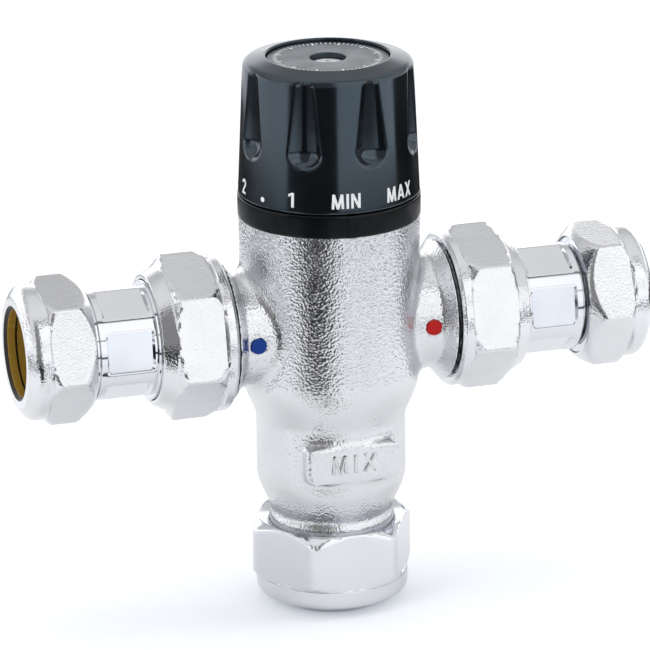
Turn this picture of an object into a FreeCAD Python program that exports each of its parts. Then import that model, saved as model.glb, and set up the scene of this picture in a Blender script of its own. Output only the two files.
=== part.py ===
import FreeCAD, Part

# Thermostatic mixing valve for 22 mm copper tube, in millimetres.
#
# The valve stands on its outlet: z = 0 is the lower end face of the outlet nut, +Z is the spindle's axis, +X points
# out of the hot inlet, -X out of the cold inlet, and the front, with its cast pad, faces -Y. The two inlets share one
# axis, tee_height above the outlet's end face.
#
# Cold water comes in above the web of the body and hot water below it. The shutter slides in that web between two
# seats: its upper edge meters the cold, its lower edge the hot. Warm mixed water swells the wax element, which stands
# on its piston and so pushes the shutter down and closes the hot side. The knob turns the spindle, whose left-hand
# thread raises the carrier, the element and the shutter, and lets more hot in.

import math
import os

import Sketcher
from FreeCAD import Placement, Rotation, Vector

SIZES = {
    # The tube, and where the three mouths lie
    "tube_bore_radius": 11.1,
    "tee_height": 75.0,
    "inlet_reach": 83.0,
    # Clearances: curved fits that slide, pieces that are only screwed or laid together, and faces that must not meet
    "running_clearance": 0.05,
    "thread_clearance": 0.1,
    "free_gap": 0.3,
    # How far a cut runs past the face it opens
    "cut_over": 1.0,
    # Cast body: rises and drops are measured from the inlets' axis, and the outlet's heights from its end face
    "barrel_radius": 23.1,
    "barrel_rise": 28.9,
    "barrel_drop": 15.0,
    "shoulder_drop": 24.0,
    "shoulder_rounding": 20.0,
    "waist_radius": 19.3,
    "waist_height": 33.5,
    "waist_rounding": 10.0,
    "neck_radius": 15.6,
    "neck_height": 25.2,
    "neck_end_height": 23.7,
    "outlet_thread_radius": 16.2,
    "outlet_spigot_height": 9.0,
    "boss_radius": 14.7,
    "boss_length": 3.0,
    "boss_rounding": 2.6,
    "flare_radius": 18.5,
    "flare_length": 2.8,
    "union_thread_radius": 16.5,
    "union_spigot_length": 8.1,
    # Cast pad on the front
    "pad_width": 24.7,
    "pad_height": 9.9,
    "pad_drop": 32.5,
    "pad_face": 19.8,
    "pad_corner": 2.2,
    # Waterways inside the body
    "inlet_bore_radius": 9.0,
    "inlet_bore_end": 22.0,
    "port_width": 13.0,
    "port_margin": 0.5,
    "web_half": 3.0,
    "annulus_half": 9.0,
    "annulus_radius": 18.0,
    "web_bore_radius": 13.8,
    "bonnet_bore_radius": 15.0,
    "bonnet_thread_radius": 17.9,
    "bonnet_step_rise": 17.0,
    "chamber_radius": 12.4,
    "seat_ledge_drop": 13.0,
    "plate_ledge_drop": 26.0,
    "drain_radius": 11.2,
    "tube_stop_radius": 9.6,
    "tube_stop_thickness": 3.0,
    "tube_socket_depth": 20.0,
    # Index ring
    "ring_radius": 23.3,
    "ring_height": 5.9,
    "ring_lip": 1.5,
    "ring_rib_width": 2.3,
    "ring_rib_stand": 0.35,
    "ring_rib_turn": -3.0,
    # Knob
    "knob_inset": 0.2,
    "knob_top_radius": 21.2,
    "knob_height": 34.0,
    "knob_crown": 1.5,
    "knob_edge_rounding": 1.3,
    "knob_wall": 4.6,
    "knob_top_thickness": 5.5,
    "knob_hub_radius": 8.0,
    "disc_recess_radius": 15.7,
    "disc_recess_depth": 2.4,
    "disc_thickness": 0.8,
    "screw_well_radius": 4.6,
    "screw_well_depth": 3.0,
    "screw_hole_radius": 2.7,
    "flute_foot_radius": 4.6,
    "flute_tip_radius": 2.7,
    "flute_length": 14.6,
    "flute_foot_rise": 18.2,
    "flute_stand_off": 1.4,
    "flute_lean": 5.8,
    "flute_turn": 12.0,
    "flute_count": 8,
    # Screw that holds the knob
    "screw_head_radius": 4.1,
    "screw_head_height": 2.6,
    "screw_radius": 2.4,
    "screw_length": 13.0,
    "screw_socket_flats": 3.0,
    # Bonnet
    "ring_wall": 3.0,
    "bonnet_flange_thickness": 2.0,
    "bonnet_hex_flats": 26.0,
    "bonnet_hex_height": 4.0,
    "bonnet_guide_radius": 8.4,
    "bonnet_guide_rise": 44.0,
    "bonnet_ceiling_rise": 31.3,
    "cold_seat_rise": 7.2,
    "bonnet_seal_rise": 13.0,
    "seal_section": 0.85,
    "seal_side_gap": 0.17,
    # Spindle
    "spindle_radius": 5.0,
    "spindle_collar_radius": 7.0,
    "spindle_collar_thickness": 1.8,
    "spindle_thread_radius": 4.0,
    "spindle_thread_length": 8.7,
    "spindle_drive_flats": 8.6,
    "spindle_drive_length": 16.0,
    "spindle_seal_rise": 38.5,
    # Carrier with its overtravel spring and thrust pad
    "carrier_flats": 18.0,
    "carrier_foot_rise": 9.2,
    "carrier_cup_radius": 7.4,
    "carrier_cup_depth": 9.8,
    "carrier_roof": 4.0,
    "carrier_hub_radius": 6.5,
    "carrier_hub_height": 4.3,
    "clip_groove_height": 1.0,
    "clip_groove_depth": 0.8,
    "clip_foot": 0.8,
    "clip_thickness": 0.8,
    "clip_inner_radius": 6.0,
    "clip_opening": 4.0,
    "thrust_pad_thickness": 1.5,
    "carrier_travel": 1.4,
    "overtravel_wire": 1.2,
    "overtravel_turns": 3.0,
    # Wax element and piston
    "piston_radius": 1.5,
    "piston_length": 7.1,
    "element_neck_radius": 3.5,
    "element_neck_height": 5.4,
    "element_flange_radius": 6.5,
    "element_flange_thickness": 2.2,
    "element_bulb_radius": 4.6,
    "element_bulb_length": 26.0,
    "element_stroke": 1.5,
    # Shutter, its seal and the two things below it
    "shutter_wall": 2.2,
    "spider_thickness": 3.0,
    "spider_foot": 4.9,
    "spider_hub_radius": 8.6,
    "window_width": 8.0,
    "window_taper": 0.7,
    "seat_ring_inner_radius": 10.8,
    "hot_seat_drop": 7.7,
    "plate_thickness": 2.0,
    "plate_hub_radius": 9.0,
    "plate_rim": 1.0,
    "plate_hole_radius": 5.6,
    "plate_window_width": 7.0,
    "return_spring_radius": 7.2,
    "return_wire": 1.3,
    "return_turns": 6.0,
    # Union nuts, each measured outwards from its inner face, which lies off the collar of its boss
    "union_nut_flats": 37.0,
    "union_nut_gap": 0.7,
    "union_collar_radius": 20.0,
    "union_collar_bevel": 0.8,
    "union_collar_length": 3.3,
    "union_hex_length": 11.7,
    "union_nose_radius": 16.9,
    "union_nose_step": 2.6,
    "union_nose_length": 4.2,
    "union_nose_rounding": 0.62,
    "union_lip_radius": 15.5,
    "union_lip_thickness": 5.5,
    "cold_union_nut_turn": 13.3,
    "hot_union_nut_turn": 46.2,
    # Union tails: the inner end is measured from the union nut, and the outer end back from the inlet's mouth
    "gasket_thickness": 2.0,
    "gasket_inner_radius": 8.6,
    "tail_flange_radius": 16.3,
    "tail_flange_thickness": 4.0,
    "tail_neck_radius": 15.3,
    "tail_neck_stand": 0.8,
    "tail_radius": 14.0,
    "tail_flats": 25.8,
    "tail_flats_gap": 0.6,
    "tail_collar_length": 2.0,
    "tail_body_inset": 18.8,
    "tail_thread_radius": 15.0,
    "tail_inset": 7.0,
    "cartridge_bore_radius": 10.1,
    "cold_tail_turn": 6.5,
    "hot_tail_turn": 53.5,
    # Strainers
    "strainer_radius": 8.0,
    "strainer_wall": 0.5,
    "strainer_length": 10.0,
    "strainer_flange_radius": 9.8,
    "strainer_slot_width": 3.4,
    "strainer_slot_length": 6.0,
    "strainer_slot_count": 6,
    # Check valve cartridges
    "cage_wall": 1.6,
    "cage_length": 14.8,
    "cage_end_gap": 0.6,
    "cage_seat_thickness": 2.4,
    "cage_seat_radius": 5.5,
    "cage_spider_thickness": 2.0,
    "cage_hub_radius": 3.0,
    "cage_window_width": 4.6,
    "poppet_radius": 6.8,
    "poppet_thickness": 1.4,
    "poppet_stem_radius": 1.5,
    "check_spring_radius": 4.2,
    "check_wire": 0.7,
    "check_turns": 4.0,
    # Compression nuts of the inlets, measured back from the mouth
    "end_nut_flats": 33.0,
    "end_nut_length": 17.7,
    "end_hex_inset": 6.0,
    "end_collar_radius": 17.3,
    "end_collar_inset": 2.0,
    "end_face_radius": 14.2,
    "cold_end_nut_turn": 18.6,
    "hot_end_nut_turn": 34.4,
    # Outlet nut, measured back from its end face
    "outlet_nut_flats": 38.0,
    "outlet_nut_length": 22.7,
    "outlet_hex_inset": 7.6,
    "outlet_collar_radius": 19.7,
    "outlet_collar_inset": 3.3,
    "outlet_face_radius": 13.4,
    "outlet_nut_turn": 58.6,
    # What every compression joint shares
    "nut_chamfer_rise": 2.1,
    "nut_core_step": 0.4,
    "mouth_chamfer": 0.9,
    "thread_mouth_chamfer": 1.2,
    "nut_shoulder_rounding": 2.6,
    "olive_radius": 12.7,
    "olive_end_radius": 11.6,
    "olive_length": 4.7,
    "olive_cone": 1.6,
    "olive_seat_depth": 1.8,
    "olive_entry": 1.1,
    "nut_thread_over": 1.3,
    "nut_cone_over": 4.2,
    # Colour markers on the bosses
    "marker_radius": 1.95,
    "marker_inset": 2.8,
    "marker_depth": 1.0,
    "marker_stand": 0.15,
}

SQRT3 = math.sqrt(3.0)
FRONT = "XZ_Plane"
FLOOR = "XY_Plane"
# How far a chamfer's cut runs past a flat face, and the rounding of a flute cutter's nose as a share of its radius
HAIR = 0.01
FLUTE_NOSE = 0.95


class Size:
    """A number together with the spreadsheet expression that gives it."""

    def __init__(self, value, text):
        self.value = float(value)
        self.text = text

    @staticmethod
    def of(thing):
        return thing if isinstance(thing, Size) else Size(thing, repr(float(thing)))

    def joined(self, sign, other, value):
        return Size(value, f"({self.text} {sign} {other.text})")

    def __add__(self, other):
        other = Size.of(other)
        return self.joined("+", other, self.value + other.value)

    def __sub__(self, other):
        other = Size.of(other)
        return self.joined("-", other, self.value - other.value)

    def __mul__(self, other):
        other = Size.of(other)
        return self.joined("*", other, self.value * other.value)

    def __truediv__(self, other):
        other = Size.of(other)
        return self.joined("/", other, self.value / other.value)


class Sheet:
    """The spreadsheet of driving sizes. Each size is read from it as an attribute."""

    def __init__(self, doc, sizes):
        self.cells = doc.addObject("Spreadsheet::Sheet", "Sizes")
        self.known = {}
        for row, (alias, value) in enumerate(sizes.items(), start=1):
            self.cells.set(f"A{row}", alias.replace("_", " "))
            self.cells.set(f"B{row}", str(value))
            self.cells.setAlias(f"B{row}", alias)
            self.known[alias] = Size(value, f"Sizes.{alias}")

    def __getattr__(self, alias):
        return self.known[alias]


DOC = FreeCAD.newDocument("MixingValve")
s = Sheet(DOC, SIZES)
DOC.recompute()
PIECES = []


class Piece:
    """One sub-part: a PartDesign body drawn about its own upright axis, and then placed in the valve."""

    def __init__(self, label):
        self.body = DOC.addObject("PartDesign::Body", label)
        self.body.Label = label
        PIECES.append(self.body)

    def origin_feature(self, role):
        return next(item for item in self.body.Origin.OriginFeatures if item.Role == role)

    def sketch(self, name, plane, move=(0, 0, 0), turn=0.0, about=Vector(0, 0, 1)):
        """An empty sketch on an origin plane, moved and turned in that plane's own axes."""
        drawn = self.body.newObject("Sketcher::SketchObject", name)
        drawn.AttachmentSupport = [(self.origin_feature(plane), "")]
        drawn.MapMode = "FlatFace"
        move = [Size.of(step) for step in move]
        turn = Size.of(turn)
        drawn.AttachmentOffset = Placement(Vector(*[step.value for step in move]), Rotation(about, turn.value))
        for letter, step in zip("xyz", move):
            if step.value:
                drawn.setExpression(f"AttachmentOffset.Base.{letter}", step.text)
        if turn.value and about.z:
            drawn.setExpression("AttachmentOffset.Rotation.Angle", turn.text)
        return drawn

    def turned(self, name, points, cut=False, **where):
        """A revolved outline of (radius, height) points about the upright axis, added or cut."""
        drawn = self.sketch(f"{name}_outline", FRONT, **where)
        draw_outline(drawn, points)
        feature = self.body.newObject("PartDesign::Groove" if cut else "PartDesign::Revolution", name)
        feature.Profile = drawn
        feature.ReferenceAxis = (drawn, ["V_Axis"])
        feature.Angle = 360
        drawn.Visibility = False
        return feature

    def raised(self, name, drawn, length, cut=False, back=False):
        """A sketch padded or pocketed by a length, along its normal or back from it."""
        feature = self.body.newObject("PartDesign::Pocket" if cut else "PartDesign::Pad", name)
        feature.Profile = drawn
        feature.setExpression("Length", Size.of(length).text)
        feature.Reversed = back
        drawn.Visibility = False
        return feature

    def spread(self, name, features, count, axis="Z_Axis"):
        """A polar pattern of features about one of the body's axes."""
        DOC.recompute()
        pattern = self.body.newObject("PartDesign::PolarPattern", name)
        pattern.Originals = features
        pattern.Axis = (self.origin_feature(axis), [""])
        pattern.Angle = 360
        pattern.setExpression("Occurrences", Size.of(count).text)
        self.body.Tip = pattern
        return pattern

    def rounded(self, name, radius, choose):
        """A fillet on the edges of the solid so far that the choose function picks."""
        DOC.recompute()
        base = self.body.Tip
        edges = [f"Edge{i}" for i, edge in enumerate(base.Shape.Edges, start=1) if choose(edge)]
        feature = self.body.newObject("PartDesign::Fillet", name)
        feature.Base = (base, edges)
        feature.setExpression("Radius", radius.text)
        return feature

    def place(self, rotation=None, height=None):
        """Stand the piece in the valve: turned, with its origin on the spindle axis at a height."""
        height = Size.of(height if height is not None else 0.0)
        self.body.Placement = Placement(Vector(0, 0, height.value), rotation or Rotation())
        if height.value:
            self.body.setExpression("Placement.Base.z", height.text)
        return self.body


def corner_arc(before, corner, after, radius):
    """Tangent points, centre and sense of the arc that rounds a corner of an outline."""
    inward = (before - corner).normalize()
    outward = (after - corner).normalize()
    half = inward.getAngle(outward) / 2.0
    reach = radius / math.tan(half)
    bisector = (inward + outward).normalize()
    left_turn = (corner - before).cross(after - corner).z > 0
    return corner + inward * reach, corner + outward * reach, corner + bisector * (radius / math.sin(half)), left_turn


def arc_between(centre, radius, start, end):
    """The counter-clockwise arc from start to end."""
    first = math.atan2(start.y - centre.y, start.x - centre.x)
    last = math.atan2(end.y - centre.y, end.x - centre.x)
    return Part.ArcOfCircle(Part.Circle(centre, Vector(0, 0, 1), radius), first, last)


def pin_point(drawn, geometry, vertex, across, up):
    """Hold a vertex at its distances from the sketch's origin, as the sheet gives them."""
    for kind, axis, step in (("DistanceX", -2, across), ("DistanceY", -1, up)):
        if step.value:
            index = drawn.addConstraint(Sketcher.Constraint(kind, -1, 1, geometry, vertex, step.value))
            drawn.setExpression(f"Constraints[{index}]", step.text)
        else:
            drawn.addConstraint(Sketcher.Constraint("PointOnObject", geometry, vertex, axis))


def draw_outline(drawn, points):
    """A closed outline through (across, up) or (across, up, rounding) points, each held by the sheet."""
    corners = [tuple(Size.of(value) for value in point) for point in points]
    spots = [Vector(corner[0].value, corner[1].value, 0) for corner in corners]
    count = len(spots)
    arcs = {
        i: corner_arc(spots[i - 1], spots[i], spots[(i + 1) % count], corner[2].value)
        for i, corner in enumerate(corners) if len(corner) == 3
    }
    lines = []
    for i in range(count):
        after = (i + 1) % count
        start = arcs[i][1] if i in arcs else spots[i]
        end = arcs[after][0] if after in arcs else spots[after]
        lines.append(drawn.addGeometry(Part.LineSegment(start, end), False))
    for i, corner in enumerate(corners):
        before = lines[i - 1]
        if i not in arcs:
            drawn.addConstraint(Sketcher.Constraint("Coincident", before, 2, lines[i], 1))
            pin_point(drawn, lines[i], 1, corner[0], corner[1])
            continue
        first, last, centre, left_turn = arcs[i]
        start, end = (first, last) if left_turn else (last, first)
        arc = drawn.addGeometry(arc_between(centre, corner[2].value, start, end), False)
        point = drawn.addGeometry(Part.Point(spots[i]), True)
        drawn.addConstraint(Sketcher.Constraint("Tangent", before, 2, arc, 1 if left_turn else 2))
        drawn.addConstraint(Sketcher.Constraint("Tangent", lines[i], 1, arc, 2 if left_turn else 1))
        radius = drawn.addConstraint(Sketcher.Constraint("Radius", arc, corner[2].value))
        drawn.setExpression(f"Constraints[{radius}]", corner[2].text)
        pin_point(drawn, point, 1, corner[0], corner[1])
        drawn.addConstraint(Sketcher.Constraint("PointOnObject", point, 1, before))
        drawn.addConstraint(Sketcher.Constraint("PointOnObject", point, 1, lines[i]))


def draw_circle(drawn, radius, across=0.0, up=0.0):
    """A circle of a given radius about a point of the sketch."""
    across, up, radius = Size.of(across), Size.of(up), Size.of(radius)
    centre = Vector(across.value, up.value, 0)
    circle = drawn.addGeometry(Part.Circle(centre, Vector(0, 0, 1), radius.value), False)
    pin_point(drawn, circle, 3, across, up)
    index = drawn.addConstraint(Sketcher.Constraint("Radius", circle, radius.value))
    drawn.setExpression(f"Constraints[{index}]", radius.text)


def draw_hexagon(drawn, flats):
    """A regular hexagon about the sketch's origin, by its distance across flats, with a corner on the first axis."""
    reach = Size.of(flats) / SQRT3
    spots = [Vector(reach.value * math.cos(math.radians(60 * i)), reach.value * math.sin(math.radians(60 * i)), 0)
             for i in range(6)]
    guide = drawn.addGeometry(Part.Circle(Vector(0, 0, 0), Vector(0, 0, 1), reach.value), True)
    drawn.addConstraint(Sketcher.Constraint("Coincident", guide, 3, -1, 1))
    index = drawn.addConstraint(Sketcher.Constraint("Radius", guide, reach.value))
    drawn.setExpression(f"Constraints[{index}]", reach.text)
    sides = [drawn.addGeometry(Part.LineSegment(spots[i], spots[(i + 1) % 6]), False) for i in range(6)]
    for i in range(6):
        drawn.addConstraint(Sketcher.Constraint("Coincident", sides[i - 1], 2, sides[i], 1))
        drawn.addConstraint(Sketcher.Constraint("PointOnObject", sides[i], 1, guide))
    for side in sides[1:]:
        drawn.addConstraint(Sketcher.Constraint("Equal", sides[0], side))
    drawn.addConstraint(Sketcher.Constraint("PointOnObject", sides[0], 1, -1))


# ---------------------------------------------------------------------------------------------------------------------
# Cast body
# ---------------------------------------------------------------------------------------------------------------------

def valve_body():
    """The cast tee: barrel, bosses, pad, waterways and threaded ends."""
    piece = Piece("valve_body")
    tee = s.tee_height
    top = tee + s.barrel_rise
    spigot = s.outlet_spigot_height
    piece.turned("barrel", [
        (0, spigot),
        (s.outlet_thread_radius, spigot),
        (s.outlet_thread_radius, s.neck_end_height),
        (s.neck_radius, s.neck_end_height),
        (s.neck_radius, s.neck_height),
        (s.waist_radius, s.waist_height, s.waist_rounding),
        (s.waist_radius, tee - s.shoulder_drop),
        (s.barrel_radius, tee - s.barrel_drop, s.shoulder_rounding),
        (s.barrel_radius, top),
        (0, top),
    ])
    for side, half_turn in (("hot", 0), ("cold", 180)):
        inlet_boss(piece, side, half_turn)
    piece.rounded("boss_fillet", s.boss_rounding, joins_barrel_to_boss)
    cast_pad(piece)
    waterway(piece)
    for side, half_turn in (("hot", 0), ("cold", 180)):
        inlet_bore(piece, side, half_turn)
    return piece.place()


def inlet_levels():
    """Distances from the barrel's axis to the ends of a boss, of its flare and of its spigot."""
    boss = s.barrel_radius + s.boss_length
    flare = boss + s.flare_length
    return boss, flare, flare + s.union_spigot_length


def sideways(piece, name, half_turn, forward=0.0):
    """A sketch in the upright plane of both axes, or forward of it. Its origin is the tee, its x out of one inlet."""
    return piece.sketch(name, FRONT, move=(0, s.tee_height, forward), turn=half_turn, about=Vector(0, 1, 0))


def about_inlet(piece, name, drawn, cut):
    """A sketch revolved about the inlets' axis."""
    feature = piece.body.newObject("PartDesign::Groove" if cut else "PartDesign::Revolution", name)
    feature.Profile = drawn
    feature.ReferenceAxis = (drawn, ["H_Axis"])
    feature.Angle = 360
    drawn.Visibility = False
    return feature


def inlet_boss(piece, side, half_turn):
    """The round boss of one inlet: it flares to a collar, and ends in the spigot for the union nut."""
    drawn = sideways(piece, f"{side}_boss_outline", half_turn)
    boss, flare, spigot = inlet_levels()
    draw_outline(drawn, [
        (0, 0),
        (spigot, 0),
        (spigot, s.union_thread_radius),
        (flare, s.union_thread_radius),
        (flare, s.flare_radius),
        (boss, s.boss_radius),
        (0, s.boss_radius),
    ])
    about_inlet(piece, f"{side}_boss", drawn, cut=False)


def joins_barrel_to_boss(edge):
    """Whether an edge is part of the saddle curve where a boss leaves the barrel."""
    if isinstance(edge.Curve, Part.Line) or edge.BoundBox.XLength < 0.1:
        return False
    spots = [edge.valueAt(value) for value in (edge.FirstParameter, edge.LastParameter)]
    spots.append(edge.valueAt((edge.FirstParameter + edge.LastParameter) / 2))
    return all(abs(math.hypot(spot.y, spot.z - s.tee_height.value) - s.boss_radius.value) < 0.01 for spot in spots)


def cast_pad(piece):
    """The flat raised pad on the front of the waist."""
    drawn = piece.sketch("pad_outline", FRONT)
    half = s.pad_width / 2
    middle = s.tee_height - s.pad_drop
    low = middle - s.pad_height / 2
    high = middle + s.pad_height / 2
    draw_outline(drawn, [
        (half * -1, low, s.pad_corner),
        (half, low, s.pad_corner),
        (half, high, s.pad_corner),
        (half * -1, high, s.pad_corner),
    ])
    piece.raised("pad", drawn, s.pad_face)


def waterway(piece):
    """Everything bored along the spindle axis, from the bonnet's thread down to the outlet socket."""
    tee = s.tee_height
    top = tee + s.barrel_rise
    spigot = s.outlet_spigot_height
    stop = spigot + s.tube_socket_depth
    piece.turned("waterway", [
        (0, spigot),
        (s.tube_bore_radius + olive_seat_flare(), spigot),
        (s.tube_bore_radius, spigot + s.olive_seat_depth),
        (s.tube_bore_radius, stop),
        (s.tube_stop_radius, stop),
        (s.tube_stop_radius, stop + s.tube_stop_thickness),
        (s.drain_radius, stop + s.tube_stop_thickness),
        (s.drain_radius, tee - s.plate_ledge_drop),
        (s.chamber_radius, tee - s.plate_ledge_drop),
        (s.chamber_radius, tee - s.seat_ledge_drop),
        (s.web_bore_radius, tee - s.seat_ledge_drop),
        (s.web_bore_radius, tee - s.annulus_half),
        (s.annulus_radius, tee - s.annulus_half),
        (s.annulus_radius, tee - s.web_half),
        (s.web_bore_radius, tee - s.web_half),
        (s.web_bore_radius, tee + s.web_half),
        (s.annulus_radius, tee + s.web_half),
        (s.annulus_radius, tee + s.annulus_half),
        (s.bonnet_bore_radius, tee + s.annulus_half),
        (s.bonnet_bore_radius, tee + s.bonnet_step_rise),
        (s.bonnet_thread_radius, tee + s.bonnet_step_rise),
        (s.bonnet_thread_radius, top),
        (0, top),
    ], cut=True)


def olive_seat_flare():
    """How much the mouth of a tube socket opens for the olive's cone."""
    return s.olive_radius - s.tube_bore_radius - s.thread_clearance


def inlet_bore(piece, side, half_turn):
    """The bore of one inlet, its rebate for the strainer, its port into the annulus and its marker's seat."""
    drawn = sideways(piece, f"{side}_bore_outline", half_turn)
    boss, _, spigot = inlet_levels()
    rebate = spigot - s.strainer_wall
    draw_outline(drawn, [
        (s.inlet_bore_end, 0),
        (spigot, 0),
        (spigot, s.strainer_flange_radius + s.thread_clearance),
        (rebate, s.strainer_flange_radius + s.thread_clearance),
        (rebate, s.inlet_bore_radius),
        (s.inlet_bore_end, s.inlet_bore_radius),
    ])
    about_inlet(piece, f"{side}_bore", drawn, cut=True)
    middle = (s.web_half + s.annulus_half) / 2
    height = s.annulus_half - s.web_half - s.port_margin * 2
    centre = middle * (1 if side == "cold" else -1)
    port = sideways(piece, f"{side}_port_outline", half_turn)
    draw_outline(port, [
        (s.web_bore_radius, centre - height / 2),
        (s.inlet_bore_end + s.cut_over / 2, centre - height / 2),
        (s.inlet_bore_end + s.cut_over / 2, centre + height / 2),
        (s.web_bore_radius, centre + height / 2),
    ])
    slot = piece.raised(f"{side}_port", port, s.port_width, cut=True)
    slot.Midplane = True
    seat = sideways(piece, f"{side}_marker_outline", half_turn, forward=s.boss_radius - s.marker_depth)
    draw_circle(seat, s.marker_radius + s.running_clearance, boss - s.marker_inset, 0)
    piece.raised(f"{side}_marker_seat", seat, s.marker_depth + s.cut_over * 2, cut=True, back=(side == "hot"))


def marker(side):
    """The round colour plug in the front of a boss."""
    piece = Piece(f"{side}_marker")
    drawn = piece.sketch("plug_outline", FRONT, move=(0, 0, s.boss_radius - s.marker_depth))
    boss, _, _ = inlet_levels()
    draw_circle(drawn, s.marker_radius, (boss - s.marker_inset) * (1 if side == "hot" else -1), 0)
    piece.raised("plug", drawn, s.marker_depth + s.marker_stand)
    return piece.place(height=s.tee_height)


# ---------------------------------------------------------------------------------------------------------------------
# Headwork: ring, bonnet, spindle and knob
# ---------------------------------------------------------------------------------------------------------------------

def index_ring():
    """The ring under the knob. The bonnet's flange clamps its lip to the barrel."""
    piece = Piece("index_ring")
    foot = s.tee_height + s.barrel_rise
    top = foot + s.ring_height
    inner = s.ring_radius - s.ring_wall
    piece.turned("ring", [
        (s.bonnet_thread_radius + s.free_gap, foot),
        (s.ring_radius, foot),
        (s.ring_radius, top),
        (inner, top),
        (inner, foot + s.ring_lip),
        (s.bonnet_thread_radius + s.free_gap, foot + s.ring_lip),
    ])
    rib = piece.sketch("rib_outline", FLOOR, move=(0, 0, foot), turn=s.ring_rib_turn - 90)
    half = s.ring_rib_width / 2
    draw_outline(rib, [
        (s.ring_radius - s.cut_over, half * -1),
        (s.ring_radius + s.ring_rib_stand, half * -1),
        (s.ring_radius + s.ring_rib_stand, half),
        (s.ring_radius - s.cut_over, half),
    ])
    piece.raised("rib", rib, s.ring_height)
    return piece.place()


def bonnet():
    """The screwed headwork: cold seat, hexagonal guide for the carrier, flange, spanner hexagon and spindle guide."""
    piece = Piece("bonnet")
    tee = s.tee_height
    rim = tee + s.cold_seat_rise
    step = tee + s.bonnet_step_rise + s.free_gap
    flange = tee + s.barrel_rise + s.ring_lip
    flange_top = flange + s.bonnet_flange_thickness
    top = tee + s.bonnet_guide_rise
    sleeve = s.bonnet_bore_radius - s.thread_clearance
    flange_radius = s.ring_radius - s.ring_wall - s.free_gap
    piece.turned("blank", [
        (s.spindle_radius + s.running_clearance, rim),
        (sleeve, rim),
        (sleeve, step),
        (s.bonnet_thread_radius - s.thread_clearance, step),
        (s.bonnet_thread_radius - s.thread_clearance, flange),
        (flange_radius, flange),
        (flange_radius, flange_top),
        (s.bonnet_guide_radius, flange_top),
        (s.bonnet_guide_radius, top),
        (s.spindle_radius + s.running_clearance, top),
    ])
    spanner = piece.sketch("spanner_outline", FLOOR, move=(0, 0, flange_top))
    draw_hexagon(spanner, s.bonnet_hex_flats)
    draw_circle(spanner, (s.bonnet_guide_radius + s.spindle_radius) / 2)
    piece.raised("spanner_hexagon", spanner, s.bonnet_hex_height)
    guide = piece.sketch("carrier_guide_outline", FLOOR, move=(0, 0, rim))
    draw_hexagon(guide, s.carrier_flats + s.free_gap * 2)
    piece.raised("carrier_guide", guide, s.bonnet_ceiling_rise - s.cold_seat_rise, cut=True, back=True)
    groove = tee + s.bonnet_seal_rise
    seal_groove(piece, groove, sleeve)
    return piece.place()


def seal_groove(piece, height, radius):
    """A groove for a seal ring, cut into a round face."""
    half = s.seal_section + s.seal_side_gap
    piece.turned("seal_groove", [
        (radius - s.seal_section * 2, height - half),
        (radius + s.cut_over, height - half),
        (radius + s.cut_over, height + half),
        (radius - s.seal_section * 2, height + half),
    ], cut=True)


def seal_ring(label, height, groove_face):
    """A round-section seal ring that fills its groove and stands a hair proud of it."""
    ring = DOC.addObject("Part::Torus", label)
    ring.Label = label
    ring.setExpression("Radius2", (s.seal_section - s.running_clearance / 4).text)
    ring.setExpression("Radius1", (groove_face - s.seal_section + s.running_clearance / 4).text)
    ring.setExpression("Placement.Base.z", height.text)
    PIECES.append(ring)
    return ring


def spindle():
    """The brass spindle: left-hand threaded foot, thrust collar, sealed shaft and hexagonal drive for the knob."""
    piece = Piece("spindle")
    tee = s.tee_height
    collar_top = tee + s.bonnet_ceiling_rise - s.free_gap
    collar = collar_top - s.spindle_collar_thickness
    foot = collar - s.spindle_thread_length
    drive = tee + s.bonnet_guide_rise + s.free_gap
    piece.turned("shaft", [
        (0, foot),
        (s.spindle_thread_radius, foot),
        (s.spindle_thread_radius, collar),
        (s.spindle_collar_radius, collar),
        (s.spindle_collar_radius, collar_top),
        (s.spindle_radius, collar_top),
        (s.spindle_radius, drive),
        (0, drive),
    ])
    drive_outline = piece.sketch("drive_outline", FLOOR, move=(0, 0, drive))
    draw_hexagon(drive_outline, s.spindle_drive_flats)
    piece.raised("drive", drive_outline, s.spindle_drive_length)
    top = drive + s.spindle_drive_length
    piece.turned("tapped_hole", [
        (0, top - s.screw_length),
        (s.screw_radius + s.running_clearance, top - s.screw_length),
        (s.screw_radius + s.running_clearance, top),
        (0, top),
    ], cut=True)
    seal_groove(piece, tee + s.spindle_seal_rise, s.spindle_radius)
    return piece.place()


def knob_foot_radius():
    """Radius of the knob's skirt at its foot, a little inside the ring below it."""
    return s.ring_radius - s.knob_inset


def knob_levels():
    """Heights of the knob's foot, crown, disc seat, screw seat and hub foot."""
    foot = s.tee_height + s.barrel_rise + s.ring_height + s.free_gap
    crown = foot + s.knob_height + s.knob_crown
    disc_seat = crown - s.disc_recess_depth
    screw_seat = disc_seat - s.screw_well_depth
    return foot, crown, disc_seat, screw_seat


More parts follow.
